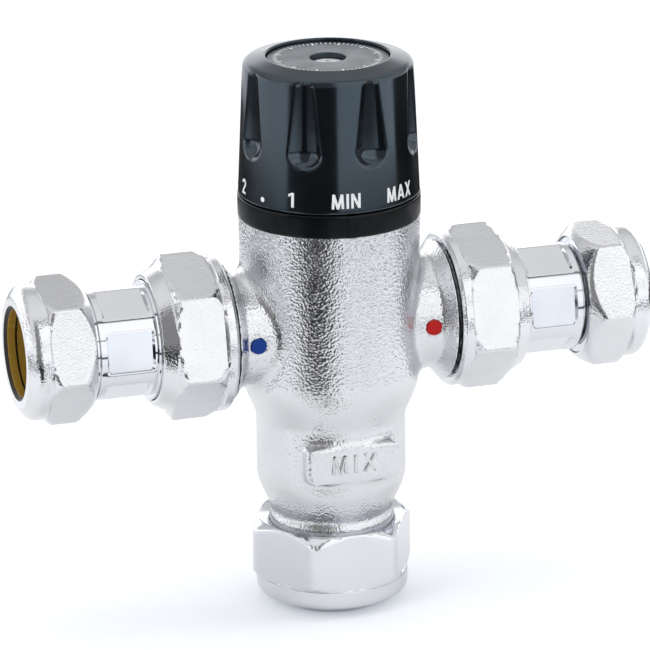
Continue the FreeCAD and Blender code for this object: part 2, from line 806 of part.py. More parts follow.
def knob():
    """The moulded knob: a hollow, slightly tapered skirt with eight flutes, a crown with a recess, and a hub."""
    piece = Piece("knob")
    foot, crown, disc_seat, screw_seat = knob_levels()
    shoulder = foot + s.knob_height
    inner = knob_foot_radius() - s.knob_wall
    ceiling = disc_seat - s.knob_top_thickness
    hub_foot = s.tee_height + s.bonnet_guide_rise + s.free_gap * 2
    drive_top = s.tee_height + s.bonnet_guide_rise + s.free_gap + s.spindle_drive_length
    piece.turned("moulding", [
        (inner, foot),
        (knob_foot_radius(), foot),
        (s.knob_top_radius, shoulder, s.knob_edge_rounding),
        (s.disc_recess_radius, crown),
        (s.disc_recess_radius, disc_seat),
        (s.screw_well_radius, disc_seat),
        (s.screw_well_radius, screw_seat),
        (s.screw_hole_radius, screw_seat),
        (s.screw_hole_radius, hub_foot),
        (s.knob_hub_radius, hub_foot),
        (s.knob_hub_radius, ceiling),
        (inner, ceiling),
    ])
    socket = piece.sketch("socket_outline", FLOOR, move=(0, 0, hub_foot))
    draw_hexagon(socket, s.spindle_drive_flats + s.thread_clearance * 2)
    piece.raised("socket", socket, drive_top - hub_foot + s.thread_clearance, cut=True, back=True)
    flute = flute_cutter(piece, foot + s.flute_foot_rise)
    piece.spread("flutes", [flute], s.flute_count)
    return piece.place()


def flute_cutter(piece, rise):
    """A blunt round-nosed cone, nose down, that leans in towards the axis and cuts one flute of the knob's skirt."""
    drawn = piece.sketch("flute_outline", FRONT)
    draw_outline(drawn, [
        (0, s.flute_foot_radius * -1),
        (s.flute_foot_radius, s.flute_foot_radius * -1, s.flute_foot_radius * FLUTE_NOSE),
        (s.flute_tip_radius, s.flute_length),
        (0, s.flute_length),
    ])
    reach = knob_foot_radius() + s.flute_stand_off
    turn = math.radians(s.flute_turn.value)
    spot = Vector(reach.value * math.cos(turn), rise.value, -reach.value * math.sin(turn))
    around = Rotation(Vector(0, 1, 0), s.flute_turn.value)
    drawn.AttachmentOffset = Placement(spot, around * Rotation(Vector(0, 0, 1), s.flute_lean.value))
    drawn.setExpression("AttachmentOffset.Base.x", f"{reach.text} * cos({s.flute_turn.text} * 1 deg)")
    drawn.setExpression("AttachmentOffset.Base.y", rise.text)
    drawn.setExpression("AttachmentOffset.Base.z", f"-{reach.text} * sin({s.flute_turn.text} * 1 deg)")
    feature = piece.body.newObject("PartDesign::Groove", "flute")
    feature.Profile = drawn
    feature.ReferenceAxis = (drawn, ["V_Axis"])
    feature.Angle = 360
    drawn.Visibility = False
    return feature


def knob_label_disc():
    """The thin disc that lies in the recess of the knob's crown."""
    piece = Piece("knob_label_disc")
    _, _, disc_seat, _ = knob_levels()
    piece.turned("disc", [
        (s.screw_well_radius, disc_seat),
        (s.disc_recess_radius - s.thread_clearance * 2, disc_seat),
        (s.disc_recess_radius - s.thread_clearance * 2, disc_seat + s.disc_thickness),
        (s.screw_well_radius, disc_seat + s.disc_thickness),
    ])
    return piece.place()


def knob_screw():
    """The socket-head screw that holds the knob on the spindle."""
    piece = Piece("knob_screw")
    _, _, _, seat = knob_levels()
    drive_top = s.tee_height + s.bonnet_guide_rise + s.free_gap + s.spindle_drive_length
    top = seat + s.screw_head_height
    piece.turned("screw", [
        (0, drive_top - s.screw_length + s.thread_clearance),
        (s.screw_radius, drive_top - s.screw_length + s.thread_clearance),
        (s.screw_radius, seat),
        (s.screw_head_radius, seat),
        (s.screw_head_radius, top),
        (0, top),
    ])
    socket = piece.sketch("socket_outline", FLOOR, move=(0, 0, top))
    draw_hexagon(socket, s.screw_socket_flats)
    piece.raised("socket", socket, s.screw_head_height / 2, cut=True)
    return piece.place()


# ---------------------------------------------------------------------------------------------------------------------
# Cartridge: carrier, element, shutter and springs
# ---------------------------------------------------------------------------------------------------------------------

def spring_carrier():
    """The hexagonal nut on the spindle's thread, with a cup for the overtravel spring and a groove for its clip."""
    piece = Piece("spring_carrier")
    foot = s.tee_height + s.carrier_foot_rise
    roof = foot + s.carrier_cup_depth
    shoulder = roof + s.carrier_roof
    outline = piece.sketch("cup_outline", FLOOR, move=(0, 0, foot))
    draw_hexagon(outline, s.carrier_flats)
    piece.raised("cup", outline, s.carrier_cup_depth + s.carrier_roof)
    hub = piece.sketch("hub_outline", FLOOR, move=(0, 0, shoulder))
    draw_circle(hub, s.carrier_hub_radius)
    piece.raised("hub", hub, s.carrier_hub_height)
    groove = foot + s.clip_foot
    thread = s.spindle_thread_radius + s.running_clearance
    piece.turned("bore", [
        (0, foot),
        (s.carrier_cup_radius, foot),
        (s.carrier_cup_radius, groove),
        (s.carrier_cup_radius + s.clip_groove_depth, groove),
        (s.carrier_cup_radius + s.clip_groove_depth, groove + s.clip_groove_height),
        (s.carrier_cup_radius, groove + s.clip_groove_height),
        (s.carrier_cup_radius, roof),
        (thread, roof),
        (thread, shoulder + s.carrier_hub_height),
        (0, shoulder + s.carrier_hub_height),
    ], cut=True)
    return piece.place()


def carrier_clip():
    """The open snap ring in the carrier's groove."""
    piece = Piece("carrier_clip")
    foot = s.tee_height + s.carrier_foot_rise + s.clip_foot + s.thread_clearance
    outer = s.carrier_cup_radius + s.clip_groove_depth - s.thread_clearance
    piece.turned("ring", [
        (s.clip_inner_radius, foot),
        (outer, foot),
        (outer, foot + s.clip_thickness),
        (s.clip_inner_radius, foot + s.clip_thickness),
    ])
    opening = piece.sketch("opening_outline", FLOOR, move=(0, 0, foot))
    half = s.clip_opening / 2
    draw_outline(opening, [
        (half * -1, 0),
        (half, 0),
        (half, outer + s.cut_over),
        (half * -1, outer + s.cut_over),
    ])
    piece.raised("opening", opening, s.clip_thickness, cut=True, back=True)
    return piece.place()


def thrust_pad_foot():
    """Height of the thrust pad's lower face, just above the clip."""
    return (s.tee_height + s.carrier_foot_rise + s.clip_foot + s.thread_clearance + s.clip_thickness + s.free_gap)


def thrust_pad():
    """The disc between the overtravel spring and the element's piston."""
    piece = Piece("thrust_pad")
    foot = thrust_pad_foot()
    radius = s.carrier_cup_radius - s.thread_clearance
    piece.turned("pad", [
        (0, foot),
        (radius, foot),
        (radius, foot + s.thrust_pad_thickness),
        (0, foot + s.thrust_pad_thickness),
    ])
    return piece.place()


def element_piston():
    """The pin that the swelling wax pushes out of the element."""
    piece = Piece("element_piston")
    top = thrust_pad_foot()
    piece.turned("pin", [
        (0, top - s.piston_length),
        (s.piston_radius, top - s.piston_length),
        (s.piston_radius, top),
        (0, top),
    ])
    return piece.place()


def shutter_foot():
    """Height of the shutter's lower edge: it clears the hot seat by the element's stroke and the free gap."""
    return s.tee_height - s.hot_seat_drop + s.element_stroke + s.free_gap


def wax_element():
    """The wax capsule: a bulb below the shutter's hub, a flange on it, and a neck that guides the piston."""
    piece = Piece("wax_element")
    seat = shutter_foot() + s.spider_foot + s.spider_thickness
    flange = seat + s.element_flange_thickness
    neck = flange + s.element_neck_height
    foot = seat - s.element_bulb_length
    piece.turned("capsule", [
        (0, foot),
        (s.element_bulb_radius, foot, s.element_bulb_radius / 2),
        (s.element_bulb_radius, seat),
        (s.element_flange_radius, seat),
        (s.element_flange_radius, flange),
        (s.element_neck_radius, flange),
        (s.element_neck_radius, neck),
        (0, neck),
    ])
    bore = s.piston_radius + s.running_clearance
    piece.turned("piston_bore", [
        (0, thrust_pad_foot() - s.piston_length - s.element_stroke),
        (bore, thrust_pad_foot() - s.piston_length - s.element_stroke),
        (bore, neck),
        (0, neck),
    ], cut=True)
    return piece.place()


def windows(piece, foot, thickness, inner, outer, width, count):
    """Openings through a spider, spread round between its hub and its rim."""
    drawn = piece.sketch("window_outline", FLOOR, move=(0, 0, foot))
    half = width / 2
    draw_outline(drawn, [
        (inner, half * s.window_taper * -1),
        (outer, half * -1),
        (outer, half),
        (inner, half * s.window_taper),
    ])
    window = piece.raised("window", drawn, thickness, cut=True, back=True)
    piece.spread("windows", [window], count)


def shutter():
    """The sleeve that slides in the body's web, with a spider inside that carries the element."""
    piece = Piece("shutter")
    foot = shutter_foot()
    top = s.tee_height + s.cold_seat_rise - s.carrier_travel - s.free_gap
    outer = s.web_bore_radius - s.running_clearance * 2
    inner = outer - s.shutter_wall
    spider = foot + s.spider_foot
    hole = s.element_bulb_radius + s.thread_clearance
    piece.turned("sleeve", [
        (inner, foot),
        (outer, foot),
        (outer, top),
        (inner, top),
        (inner, spider + s.spider_thickness),
        (hole, spider + s.spider_thickness),
        (hole, spider),
        (inner, spider),
    ])
    windows(piece, spider, s.spider_thickness, s.spider_hub_radius, inner - s.thread_clearance * 2,
            s.window_width, 4)
    seal_groove(piece, s.tee_height, outer)
    return piece.place()


def seat_ring():
    """The loose ring on the body's ledge: its upper edge is the hot seat."""
    piece = Piece("seat_ring")
    foot = s.tee_height - s.seat_ledge_drop
    top = s.tee_height - s.hot_seat_drop
    outer = s.web_bore_radius - s.thread_clearance
    piece.turned("ring", [
        (s.seat_ring_inner_radius, foot),
        (outer, foot),
        (outer, top),
        (s.seat_ring_inner_radius, top),
    ])
    return piece.place()


def spring_plate():
    """The windowed plate on the body's lower ledge that the return spring stands on."""
    piece = Piece("spring_plate")
    foot = s.tee_height - s.plate_ledge_drop
    top = foot + s.plate_thickness
    outer = s.chamber_radius - s.thread_clearance
    piece.turned("plate", [
        (s.plate_hole_radius, foot),
        (outer, foot),
        (outer, top),
        (s.plate_hole_radius, top),
    ])
    windows(piece, foot, s.plate_thickness, s.plate_hub_radius, outer - s.plate_rim, s.plate_window_width, 4)
    return piece.place()


def coil_spring(label, foot, top, radius, wire, turns, place=None):
    """A helical spring of square-section wire that just clears what it stands between."""
    piece = Piece(label)
    drawn = piece.sketch("wire_outline", FRONT)
    low = foot + s.free_gap
    draw_outline(drawn, [
        (radius - wire / 2, low),
        (radius + wire / 2, low),
        (radius + wire / 2, low + wire),
        (radius - wire / 2, low + wire),
    ])
    coil = piece.body.newObject("PartDesign::AdditiveHelix", "coil")
    coil.Profile = drawn
    coil.ReferenceAxis = (drawn, ["V_Axis"])
    coil.Mode = 0
    height = top - foot - s.free_gap * 2 - wire
    coil.setExpression("Pitch", (height / turns).text)
    coil.setExpression("Height", height.text)
    drawn.Visibility = False
    return place(piece) if place else piece.place()


def cartridge_springs():
    """The overtravel spring in the carrier, and the return spring between plate and shutter."""
    pad_top = thrust_pad_foot() + s.thrust_pad_thickness
    roof = s.tee_height + s.carrier_foot_rise + s.carrier_cup_depth
    radius = s.carrier_cup_radius - s.overtravel_wire / 2 - s.free_gap * 2
    coil_spring("overtravel_spring", pad_top, roof, radius, s.overtravel_wire, s.overtravel_turns)
    plate_top = s.tee_height - s.plate_ledge_drop + s.plate_thickness
    coil_spring("return_spring", plate_top, shutter_foot() + s.spider_foot, s.return_spring_radius, s.return_wire,
                s.return_turns)


# ---------------------------------------------------------------------------------------------------------------------
# Inlets: each piece is drawn upright, with height measured outwards from the barrel's axis, and laid on its side
# ---------------------------------------------------------------------------------------------------------------------

LAID = {"hot": Rotation(Vector(0, 1, 0), 90), "cold": Rotation(Vector(0, 1, 0), -90)}


def lay(side):
    """A function that lays a piece along one inlet."""
    return lambda piece: piece.place(LAID[side], s.tee_height)


def union_nut_levels():
    """Distances from the barrel's axis to the union nut's inner face, hexagon, nose and outer face."""
    _, flare, _ = inlet_levels()
    start = flare + s.union_nut_gap
    hex_start = start + s.union_collar_length
    hex_end = hex_start + s.union_hex_length
    return start, hex_start, hex_end, hex_end + s.union_nose_length


def union_nut(side, turn):
    """The union nut: round collar, hexagon with chamfered corners and a domed nose with an inner lip."""
    piece = Piece(f"{side}_union_nut")
    bore = s.union_thread_radius + s.thread_clearance
    start, hex_start, hex_end, end = union_nut_levels()
    lip = end - s.union_lip_thickness
    core = s.union_nut_flats / 2 - s.nut_core_step
    piece.turned("blank", [
        (bore + s.thread_mouth_chamfer, start),
        (s.union_collar_radius - s.union_collar_bevel, start),
        (s.union_collar_radius, start + s.union_collar_bevel),
        (s.union_collar_radius, hex_start),
        (core, hex_start),
        (core, hex_end),
        (s.union_nose_radius, end, s.union_nose_rounding),
        (s.union_lip_radius, end),
        (s.union_lip_radius, lip),
        (bore, lip),
        (bore, start + s.thread_mouth_chamfer),
    ])
    hexagon(piece, turn, s.union_nut_flats, bore, hex_start, hex_end + s.nut_chamfer_rise,
            s.union_collar_radius - s.nut_core_step, s.union_nose_radius + s.union_nose_step)
    return lay(side)(piece)


def hexagon(piece, turn, flats, bore, start, end, start_radius, end_radius):
    """The hexagon of a nut from start to end, its corners turned off in cones that reach the given end radii."""
    outline = piece.sketch("hexagon_outline", FLOOR, move=(0, 0, start), turn=turn)
    draw_hexagon(outline, flats)
    draw_circle(outline, (bore + flats / 2) / 2)
    piece.raised("hexagon", outline, end - start)
    corner = flats / SQRT3
    over = corner + s.cut_over
    piece.turned("start_chamfer", [
        (start_radius, start - HAIR),
        (over, start - HAIR),
        (over, start + s.nut_chamfer_rise + s.nut_chamfer_rise / (corner - start_radius)),
    ], cut=True)
    piece.turned("end_chamfer", [
        (end_radius, end + HAIR),
        (over, end - s.nut_chamfer_rise - s.nut_chamfer_rise / (corner - end_radius)),
        (over, end + HAIR),
    ], cut=True)


def tail_start():
    """Where the tail's flange meets the gasket."""
    _, _, spigot = inlet_levels()
    return spigot + s.gasket_thickness


def tail_end():
    """Where the tail ends inside the compression nut."""
    return s.inlet_reach - s.tail_inset


def union_tail(side, turn):
    """The turned tail: flange in the union nut, six spanner flats, a thread, and the socket for the tube."""
    piece = Piece(f"{side}_union_tail")
    start = tail_start()
    flange = start + s.tail_flange_thickness
    *_, nut_end = union_nut_levels()
    neck_end = nut_end + s.tail_neck_stand
    body_end = s.inlet_reach - s.tail_body_inset
    _, cage_end, _ = cage_levels()
    stop_start = cage_end + s.thread_clearance
    stop = stop_start + s.tube_stop_thickness / 2
    piece.turned("turning", [
        (s.cartridge_bore_radius, start),
        (s.tail_flange_radius, start),
        (s.tail_flange_radius, flange),
        (s.tail_neck_radius, flange),
        (s.tail_neck_radius, neck_end),
        (s.tail_radius, neck_end),
        (s.tail_radius, body_end),
        (s.tail_thread_radius, body_end),
        (s.tail_thread_radius, tail_end()),
        (s.tube_bore_radius + olive_seat_flare(), tail_end()),
        (s.tube_bore_radius, tail_end() - s.olive_seat_depth),
        (s.tube_bore_radius, stop),
        (s.tube_stop_radius, stop),
        (s.tube_stop_radius, stop_start),
        (s.cartridge_bore_radius, stop_start),
    ])
    flats_start = neck_end + s.tail_flats_gap
    flats = piece.sketch("flats_outline", FLOOR, move=(0, 0, flats_start), turn=turn)
    draw_hexagon(flats, s.tail_flats)
    draw_circle(flats, s.tail_radius + s.cut_over * 2)
    piece.raised("flats", flats, body_end - s.tail_collar_length - flats_start, cut=True, back=True)
    return lay(side)(piece)


def union_gasket(side):
    """The flat fibre washer between the body's spigot and the tail."""
    piece = Piece(f"{side}_union_gasket")
    _, _, spigot = inlet_levels()
    piece.turned("washer", [
        (s.gasket_inner_radius, spigot),
        (s.tail_flange_radius, spigot),
        (s.tail_flange_radius, tail_start()),
        (s.gasket_inner_radius, tail_start()),
    ])
    return lay(side)(piece)


def strainer(side):
    """The slotted strainer cup, held by its flange under the gasket."""
    piece = Piece(f"{side}_strainer")
    _, _, spigot = inlet_levels()
    flange = spigot - s.strainer_wall
    bottom = spigot - s.strainer_length
    inner = s.strainer_radius - s.strainer_wall
    piece.turned("cup", [
        (0, bottom),
        (s.strainer_radius, bottom),
        (s.strainer_radius, flange),
        (s.strainer_flange_radius, flange),
        (s.strainer_flange_radius, spigot),
        (inner, spigot),
        (inner, bottom + s.strainer_wall),
        (0, bottom + s.strainer_wall),
    ])
    slot = piece.sketch("slot_outline", FRONT)
    half = s.strainer_slot_width / 2
    low = bottom + (s.strainer_length - s.strainer_slot_length) / 2
    draw_outline(slot, [
        (half * -1, low),
        (half, low),
        (half, low + s.strainer_slot_length),
        (half * -1, low + s.strainer_slot_length),
    ])
    cut = piece.raised("slot", slot, s.strainer_radius + s.cut_over, cut=True, back=True)
    piece.spread("slots", [cut], s.strainer_slot_count)
    return lay(side)(piece)


def cage_levels():
    """Where the check valve's cage starts and ends, and where its seat wall begins."""
    start = tail_start() + s.cage_end_gap
    end = start + s.cage_length
    return start, end, end - s.cage_seat_thickness


def check_valve_cage(side):
    """The cage of the check valve: a tube with a seat wall outwards and a spider that guides the stem inwards."""
    piece = Piece(f"{side}_check_valve_cage")
    start, end, seat = cage_levels()
    outer = s.cartridge_bore_radius - s.thread_clearance
    inner = outer - s.cage_wall
    hub = start + s.cage_spider_thickness
    guide = s.poppet_stem_radius + s.running_clearance
    piece.turned("cage", [
        (guide, start),
        (outer, start),
        (outer, end),
        (s.cage_seat_radius, end),
        (s.cage_seat_radius, seat),
        (inner, seat),
        (inner, hub),
        (guide, hub),
    ])
    windows(piece, start, s.cage_spider_thickness, s.cage_hub_radius, inner - s.free_gap, s.cage_window_width, 4)
    return lay(side)(piece)


def check_valve_poppet(side):
    """The poppet: a disc just off its seat wall, and the stem that runs in the cage's hub."""
    piece = Piece(f"{side}_check_valve_poppet")
    start, _, seat = cage_levels()
    face = seat - s.free_gap
    back = face - s.poppet_thickness
    piece.turned("poppet", [
        (0, start + s.free_gap),
        (s.poppet_stem_radius, start + s.free_gap),
        (s.poppet_stem_radius, back),
        (s.poppet_radius, back),
        (s.poppet_radius, face),
        (0, face),
    ])
    return lay(side)(piece)


def check_valve_spring(side):
    """The light spring between the cage's hub and the poppet's disc."""
    start, _, seat = cage_levels()
    hub = start + s.cage_spider_thickness
    back = seat - s.free_gap - s.poppet_thickness
    coil_spring(f"{side}_check_valve_spring", hub, back, s.check_spring_radius - s.check_wire, s.check_wire,
                s.check_turns, lay(side))


def compression_nut(label, turn, nut, place):
    """A compression nut: hexagon, round collar, curved shoulder, thread bore, olive cone and tube hole."""
    piece = Piece(label)
    bore = nut["thread"] + s.thread_clearance
    thread_end = nut["spigot_end"] + s.nut_thread_over
    lip = nut["spigot_end"] + s.nut_cone_over
    core = nut["flats"] / 2 - s.nut_core_step
    start = nut["end"] - nut["length"]
    hex_end = nut["end"] - nut["hex_inset"]
    piece.turned("blank", [
        (bore + s.thread_mouth_chamfer, start),
        (core, start),
        (core, hex_end),
        (nut["collar"], hex_end),
        (nut["collar"], nut["end"] - nut["collar_inset"], s.nut_shoulder_rounding),
        (nut["face"], nut["end"]),
        (s.tube_bore_radius + s.mouth_chamfer, nut["end"]),
        (s.tube_bore_radius, nut["end"] - s.mouth_chamfer),
        (s.tube_bore_radius, lip),
        (bore, thread_end),
        (bore, start + s.thread_mouth_chamfer),
    ])
    hexagon(piece, turn, nut["flats"], bore, start, hex_end, core + s.nut_core_step / 2,
            nut["collar"] + s.nut_core_step)
    return place(piece)


def olive(label, spigot_end, place):
    """The brass ring that the nut squeezes onto the tube: a barrel with a cone at each end."""
    piece = Piece(label)
    start = spigot_end - s.olive_entry
    end = start + s.olive_length
    piece.turned("ring", [
        (s.tube_bore_radius, start),
        (s.olive_end_radius, start),
        (s.olive_radius, start + s.olive_cone),
        (s.olive_radius, end - s.olive_cone),
        (s.olive_end_radius, end),
        (s.tube_bore_radius, end),
    ])
    return place(piece)


def hang(piece):
    """Hang a piece down the outlet, with height measured downwards from the inlets' axis."""
    return piece.place(Rotation(Vector(1, 0, 0), 180), s.tee_height)


def compression_joints():
    """The nut and olive of each of the three mouths."""
    inlet_nut = {
        "end": s.inlet_reach, "length": s.end_nut_length, "hex_inset": s.end_hex_inset,
        "collar_inset": s.end_collar_inset, "flats": s.end_nut_flats, "collar": s.end_collar_radius,
        "face": s.end_face_radius, "thread": s.tail_thread_radius, "spigot_end": tail_end(),
    }
    outlet_spigot = s.tee_height - s.outlet_spigot_height
    outlet = {
        "end": s.tee_height, "length": s.outlet_nut_length, "hex_inset": s.outlet_hex_inset,
        "collar_inset": s.outlet_collar_inset, "flats": s.outlet_nut_flats, "collar": s.outlet_collar_radius,
        "face": s.outlet_face_radius, "thread": s.outlet_thread_radius, "spigot_end": outlet_spigot,
    }
    for side, turn in (("cold", s.cold_end_nut_turn), ("hot", s.hot_end_nut_turn)):
        compression_nut(f"{side}_compression_nut", turn, inlet_nut, lay(side))
        olive(f"{side}_olive", tail_end(), lay(side))
    compression_nut("outlet_nut", s.outlet_nut_turn, outlet, hang)
    olive("outlet_olive", outlet_spigot, hang)


def build():
    """Every sub-part of the valve."""
    valve_body()
    index_ring()
    bonnet()
    seal_ring("bonnet_o_ring", s.tee_height + s.bonnet_seal_rise, s.bonnet_bore_radius - s.thread_clearance)
    spindle()
    seal_ring("spindle_o_ring", s.tee_height + s.spindle_seal_rise, s.spindle_radius)
    knob()
    knob_label_disc()
    knob_screw()
    spring_carrier()
    carrier_clip()
    thrust_pad()
    element_piston()
    wax_element()
    shutter()
    seal_ring("shutter_o_ring", s.tee_height, s.web_bore_radius - s.running_clearance * 2)
    seat_ring()
    spring_plate()
    cartridge_springs()
    for side, nut_turn, tail_turn in (("cold", s.cold_union_nut_turn, s.cold_tail_turn),
                                      ("hot", s.hot_union_nut_turn, s.hot_tail_turn)):
        marker(side)
        union_nut(side, nut_turn)
        union_tail(side, tail_turn)
        union_gasket(side)
        strainer(side)
        check_valve_cage(side)
        check_valve_poppet(side)
        check_valve_spring(side)
    compression_joints()


def check():
    """Stop if any object failed to compute or any sub-part isn't one sound solid."""
    for thing in DOC.Objects:
        if "Invalid" in thing.State or "Error" in thing.State:
            raise RuntimeError(f"{thing.Label} failed: {thing.State}")
    for piece in PIECES:
        shape = piece.Shape
        if shape.isNull() or not shape.isValid() or len(shape.Solids) != 1:
            raise RuntimeError(f"{piece.Label} isn't one sound solid")


def export():
    """Write each sub-part to its own STEP file."""
    os.makedirs("parts", exist_ok=True)
    for piece in PIECES:
        piece.Shape.exportStep(f"parts/{piece.Label}.step")
        print(f"{piece.Label:28s} {piece.Shape.Volume / 1000.0:9.3f} cm3")


build()
DOC.recompute()
check()
export()
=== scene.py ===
"""Looks of a thermostatic mixing valve: cast and turned chrome, a moulded knob and its print.

Every length in the classes below is in millimetres unless its name says otherwise. Meshes are built in metres
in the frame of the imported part: +Z up the spindle, +X out of the hot inlet, the front with its cast pad at
-Y.
"""

import logging
import math
from collections.abc import Sequence
from dataclasses import dataclass, field
from enum import Enum
from typing import ClassVar

import bmesh
import bpy
import numpy as np
from mathutils import Matrix, Vector
from numpy.typing import NDArray

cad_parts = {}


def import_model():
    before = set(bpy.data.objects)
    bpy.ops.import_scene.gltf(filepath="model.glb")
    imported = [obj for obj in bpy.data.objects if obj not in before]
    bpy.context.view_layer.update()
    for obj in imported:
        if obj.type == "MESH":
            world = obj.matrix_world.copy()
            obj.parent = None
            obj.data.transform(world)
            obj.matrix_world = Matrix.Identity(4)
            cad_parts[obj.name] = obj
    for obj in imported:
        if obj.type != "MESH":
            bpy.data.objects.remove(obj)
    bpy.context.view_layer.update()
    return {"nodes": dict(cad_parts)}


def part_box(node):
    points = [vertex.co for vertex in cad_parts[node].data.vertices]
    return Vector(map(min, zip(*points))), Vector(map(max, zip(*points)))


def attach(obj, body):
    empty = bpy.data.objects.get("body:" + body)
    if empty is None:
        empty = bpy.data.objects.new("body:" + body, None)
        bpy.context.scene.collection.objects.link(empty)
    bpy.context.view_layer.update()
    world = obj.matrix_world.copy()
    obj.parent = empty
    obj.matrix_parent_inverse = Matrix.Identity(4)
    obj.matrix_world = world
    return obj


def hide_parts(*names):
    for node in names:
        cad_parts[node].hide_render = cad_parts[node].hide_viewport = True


FloatArray = NDArray[np.float64]
Linked = dict[str | int, bpy.types.NodeSocket]
LOG = logging.getLogger("mixing_valve")
MM = 0.001
HEX_SIDES = 6
# How many times longer the divisions of a run out of sight are than those of a run in sight
HIDDEN_STEP = 6.0
# Angle, in radians, past which a hexagon's far flat no longer counts: short of a right angle
FARTHEST_FLAT = 1.4
# How far a nut's turned blank lies inside its flats, and the run of a square shoulder
BLANK_INSET = 0.4
SHOULDER_RUN = 0.1
# Radius at which a closed top or foot is taken to its pole
POLE_RADIUS = 0.02
RAMP_SOCKETS = ("From Min", "From Max", "To Min", "To Max")


# --------------------------------------------------------------------------------------------------
# Surfaces worked out as arrays
# --------------------------------------------------------------------------------------------------

@dataclass(frozen=True)
class Corner:
    """One corner of a turned outline: distance along the axis, radius, and how far it is rounded.

    A corner is out of sight when the run from it to the next one is, and that run is then divided coarsely.
    """

    along: float
    radius: float
    rounding: float = 0.0
    out_of_sight: bool = False


def smooth_min(first: FloatArray, second: FloatArray, blend: float) -> FloatArray:
    """Lesser of two values, with a soft change over where they are within blend of each other.

    The formula is min(a, b) - h * h * blend / 4, where h is how far |a - b| falls short of blend, as a share
    of it.

    Args:
        first: One set of values.
        second: The other set, of a shape that broadcasts with the first.
        blend: Width of the soft change, in the values' unit.

    Returns:
        The softened lesser values.
    """
    share = np.clip(blend - np.abs(first - second), 0.0, None) / blend
    return np.minimum(first, second) - share * share * blend / 4.0


def smooth_step(values: FloatArray, start: float, end: float) -> FloatArray:
    """Share from 0 at start to 1 at end, along the cubic 3t^2 - 2t^3."""
    share = np.clip((values - start) / (end - start), 0.0, 1.0)
    return share * share * (3.0 - 2.0 * share)


def arc_points(before: FloatArray, corner: FloatArray, after: FloatArray, rounding: float,
               pieces: int) -> FloatArray:
    """Points of the arc that rounds one corner of an outline.

    The arc touches both runs at rounding / tan(half the corner's angle) from the corner, and its points are
    turned about its centre from one touch to the other.

    Args:
        before: The corner before, as (along, radius).
        corner: The corner to round.
        after: The corner after.
        rounding: Radius of the arc.
        pieces: Number of steps in the arc.

    Returns:
        The arc's points, one a row.
    """
    inward = (before - corner) / np.linalg.norm(before - corner)
    outward = (after - corner) / np.linalg.norm(after - corner)
    half = math.acos(float(np.clip(inward @ outward, -1.0, 1.0))) / 2.0
    reach = rounding / math.tan(half)
    bisector = (inward + outward) / np.linalg.norm(inward + outward)
    centre = corner + bisector * rounding / math.sin(half)
    start = corner + inward * reach - centre
    turn = math.copysign(math.pi - 2.0 * half, float(np.cross(-inward, outward)))
    angles = np.linspace(0.0, turn, pieces + 1)
    return centre + np.stack([start[0] * np.cos(angles) - start[1] * np.sin(angles),
                              start[0] * np.sin(angles) + start[1] * np.cos(angles)], axis=1)


def rounded_outline(corners: Sequence[Corner], step: float, arc_pieces: int = 5) -> FloatArray:
    """A closed outline with its corners rounded and its straight runs divided.

    Args:
        corners: The outline's corners in order, the last joined to the first.
        step: Greatest length of one division of a straight run.
        arc_pieces: Steps in each rounded corner.

    Returns:
        The outline's points as rows of (along, radius).
    """
    spots = np.array([(corner.along, corner.radius) for corner in corners])
    pieces = []
    for index, corner in enumerate(corners):
        before, here, after = spots[index - 1], spots[index], spots[(index + 1) % len(spots)]
        if corner.rounding > 0.0:
            pieces.append(arc_points(before, here, after, corner.rounding, arc_pieces))
        else:
            pieces.append(here[None, :])
    rows = []
    for index, piece in enumerate(pieces):
        end = pieces[(index + 1) % len(pieces)][0]
        greatest = HIDDEN_STEP * step if corners[index].out_of_sight else step
        divisions = max(int(math.ceil(float(np.linalg.norm(end - piece[-1])) / greatest)), 1)
        shares = np.linspace(0.0, 1.0, divisions + 1)[1:-1, None]
        rows += [piece, piece[-1] + (end - piece[-1]) * shares]
    return np.concatenate(rows)


class Axis(Enum):
    """Which way a turned piece's axis points in the valve, as a map of (along, across, up) to x, y and z."""

    UP = "up"
    HOT = "hot"
    COLD = "cold"

    def placed(self, along: FloatArray, across: FloatArray, up: FloatArray) -> FloatArray:
        """Points of the piece's own axes turned to the valve's, with the last dimension x, y and z.

        Args:
            along: Distance along the piece's axis.
            across: Distance to the piece's first side.
            up: Distance to the piece's second side.

        Returns:
            An array of points.
        """
        if self is Axis.UP:
            parts = (across, up, along)
        elif self is Axis.HOT:
            parts = (along, across, up)
        else:
            parts = (-along, -across, up)
        return np.stack(np.broadcast_arrays(*parts), axis=-1)


def mesh_object(name: str, points: FloatArray, faces: NDArray[np.int32]) -> bpy.types.Object:
    """A mesh object made of quads or triangles.

    Args:
        name: Name of the object and of its mesh.
        points: Corners in metres, one a row.
        faces: Corner indices, one face a row.

    Returns:
        The new object, linked to the scene.
    """
    mesh = bpy.data.meshes.new(name)
    mesh.vertices.add(len(points))
    mesh.vertices.foreach_set("co", points.astype(np.float32).ravel())
    mesh.loops.add(faces.size)
    mesh.loops.foreach_set("vertex_index", faces.astype(np.int32).ravel())
    mesh.polygons.add(len(faces))
    mesh.polygons.foreach_set("loop_start", np.arange(0, faces.size, faces.shape[1], dtype=np.int32))
    mesh.update(calc_edges=True)
    mesh.validate()
    made = bpy.data.objects.new(name, mesh)
    bpy.context.scene.collection.objects.link(made)
    return made


